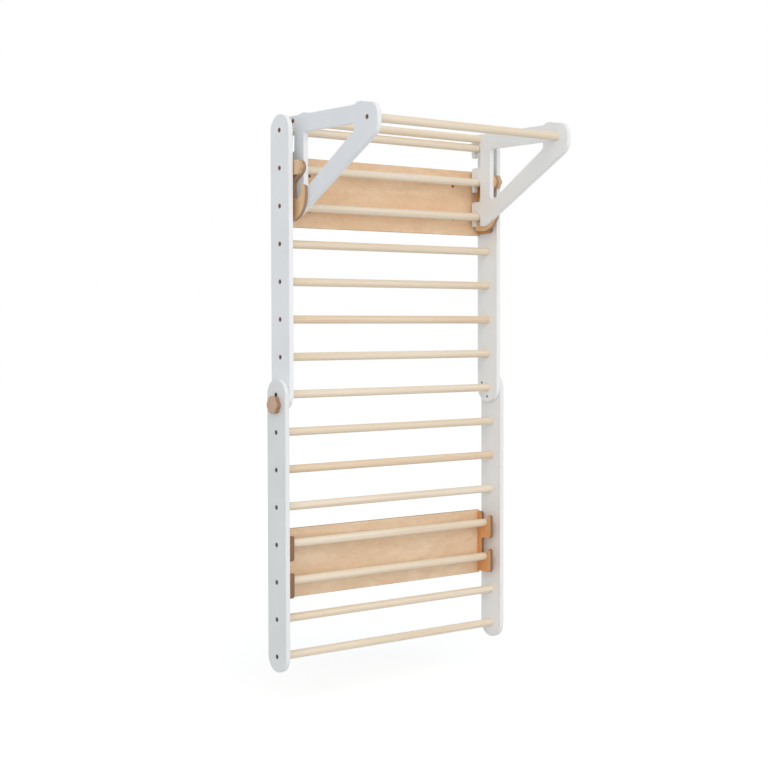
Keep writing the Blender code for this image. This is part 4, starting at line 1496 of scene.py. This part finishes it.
@dataclass
class Studio:
    """White room: floor, sky, key light and camera.

    The camera's heading, pitch and roll are in radians, and its focal length in the picture's pixels.
    """

    floor_z: float = -1.74
    floor_size: float = 30.0
    floor_albedo: float = 0.80
    floor_roughness: float = 0.9
    floor_glow: float = 0.42
    sky: float = 0.63
    sky_tint: Tint = (0.93, 0.97, 1.0)
    key: Lamp = Lamp("key", (0.396, 0.880, -0.262), 1.756, (1.0, 0.94, 0.895))
    focal_pixels: float = 1552.46
    picture: int = 768
    sensor: float = 36.0
    view_end: float = 100.0
    camera_place: Point = (-3.4225, -4.2951, -0.4500)
    heading: float = 0.6743
    pitch: float = -0.0372
    roll: float = -0.0022

    def build(self) -> None:
        """Set up the room."""
        self.build_floor()
        self.build_sky()
        self.key.build()
        self.build_camera()
        bpy.context.scene.view_settings.view_transform = "Standard"

    def background_share(self, tree: bpy.types.NodeTree) -> bpy.types.NodeSocket:
        """Tell the background from the light on the object.

        Args:
            tree: The node tree to work in.

        Returns:
            1 for what the camera, a mirror or glass sees, and 0 for light on the object.
        """
        path = tree.nodes.new("ShaderNodeLightPath")
        share = path.outputs["Is Camera Ray"]
        for ray in ("Is Glossy Ray", "Is Transmission Ray"):
            either = tree.nodes.new("ShaderNodeMath")
            either.operation = "MAXIMUM"
            tree.links.new(share, either.inputs[0])
            tree.links.new(path.outputs[ray], either.inputs[1])
            share = either.outputs[0]
        return share

    def build_sky(self) -> None:
        """Even light all round, behind a white background."""
        world = bpy.data.worlds.new("studio")
        bpy.context.scene.world = world
        world.use_nodes = True
        tree = world.node_tree
        tree.nodes.clear()
        light = tree.nodes.new("ShaderNodeBackground")
        light.inputs["Color"].default_value = (*self.sky_tint, 1.0)
        light.inputs["Strength"].default_value = self.sky
        white = tree.nodes.new("ShaderNodeBackground")
        white.inputs["Color"].default_value = WHITE
        white.inputs["Strength"].default_value = 1.0
        choice = tree.nodes.new("ShaderNodeMixShader")
        out = tree.nodes.new("ShaderNodeOutputWorld")
        tree.links.new(self.background_share(tree), choice.inputs[0])
        tree.links.new(light.outputs[0], choice.inputs[1])
        tree.links.new(white.outputs[0], choice.inputs[2])
        tree.links.new(choice.outputs[0], out.inputs["Surface"])

    def build_floor(self) -> None:
        """White floor that keeps the object's soft shadow."""
        work = bmesh.new()
        bmesh.ops.create_grid(work, x_segments=1, y_segments=1, size=self.floor_size)
        bmesh.ops.translate(work, verts=work.verts[:], vec=(0, 0, self.floor_z))
        mesh = bpy.data.meshes.new("floor")
        work.to_mesh(mesh)
        work.free()
        floor = bpy.data.objects.new("floor", mesh)
        bpy.context.scene.collection.objects.link(floor)
        recipe = Recipe("white_floor")
        material = recipe.finish((self.floor_albedo,) * 3, self.floor_roughness)
        recipe.shader.inputs["Specular IOR Level"].default_value = 0.0
        recipe.shader.inputs["Emission Color"].default_value = WHITE
        glow = recipe.math("MULTIPLY", self.background_share(recipe.tree), self.floor_glow)
        recipe.feed(recipe.shader.inputs["Emission Strength"], glow)
        mesh.materials.append(material)

    def build_camera(self) -> None:
        """Camera at the photograph's place and angle."""
        level = math.cos(self.pitch)
        ahead = Vector((math.sin(self.heading) * level, math.cos(self.heading) * level,
                        math.sin(self.pitch)))
        flat = Vector((math.cos(self.heading), -math.sin(self.heading), 0.0))
        above = flat.cross(ahead)
        right = flat * math.cos(self.roll) + above * math.sin(self.roll)
        up = above * math.cos(self.roll) - flat * math.sin(self.roll)
        data = bpy.data.cameras.new("camera")
        data.sensor_width = self.sensor
        data.lens = self.focal_pixels * self.sensor / self.picture
        data.clip_end = self.view_end
        camera = bpy.data.objects.new("camera", data)
        bpy.context.scene.collection.objects.link(camera)
        turn = Matrix((right, up, -ahead)).transposed().to_4x4()
        camera.matrix_world = Matrix.Translation(self.camera_place) @ turn
        bpy.context.scene.camera = camera


def main() -> None:
    """Dress every sub-assembly and set up the room."""
    logging.basicConfig(level=logging.INFO, format="%(name)s: %(message)s")
    shop = Workshop(Finishes())
    Ladder().build(shop)
    for level in Level:
        WallMount(level).build(shop)
    PullUpFrame().build(shop)
    for side in Side:
        Latch(side).build(shop)
        FoldLock(side).build(shop)
    Studio().build()


if __name__ == "__main__":
    main()
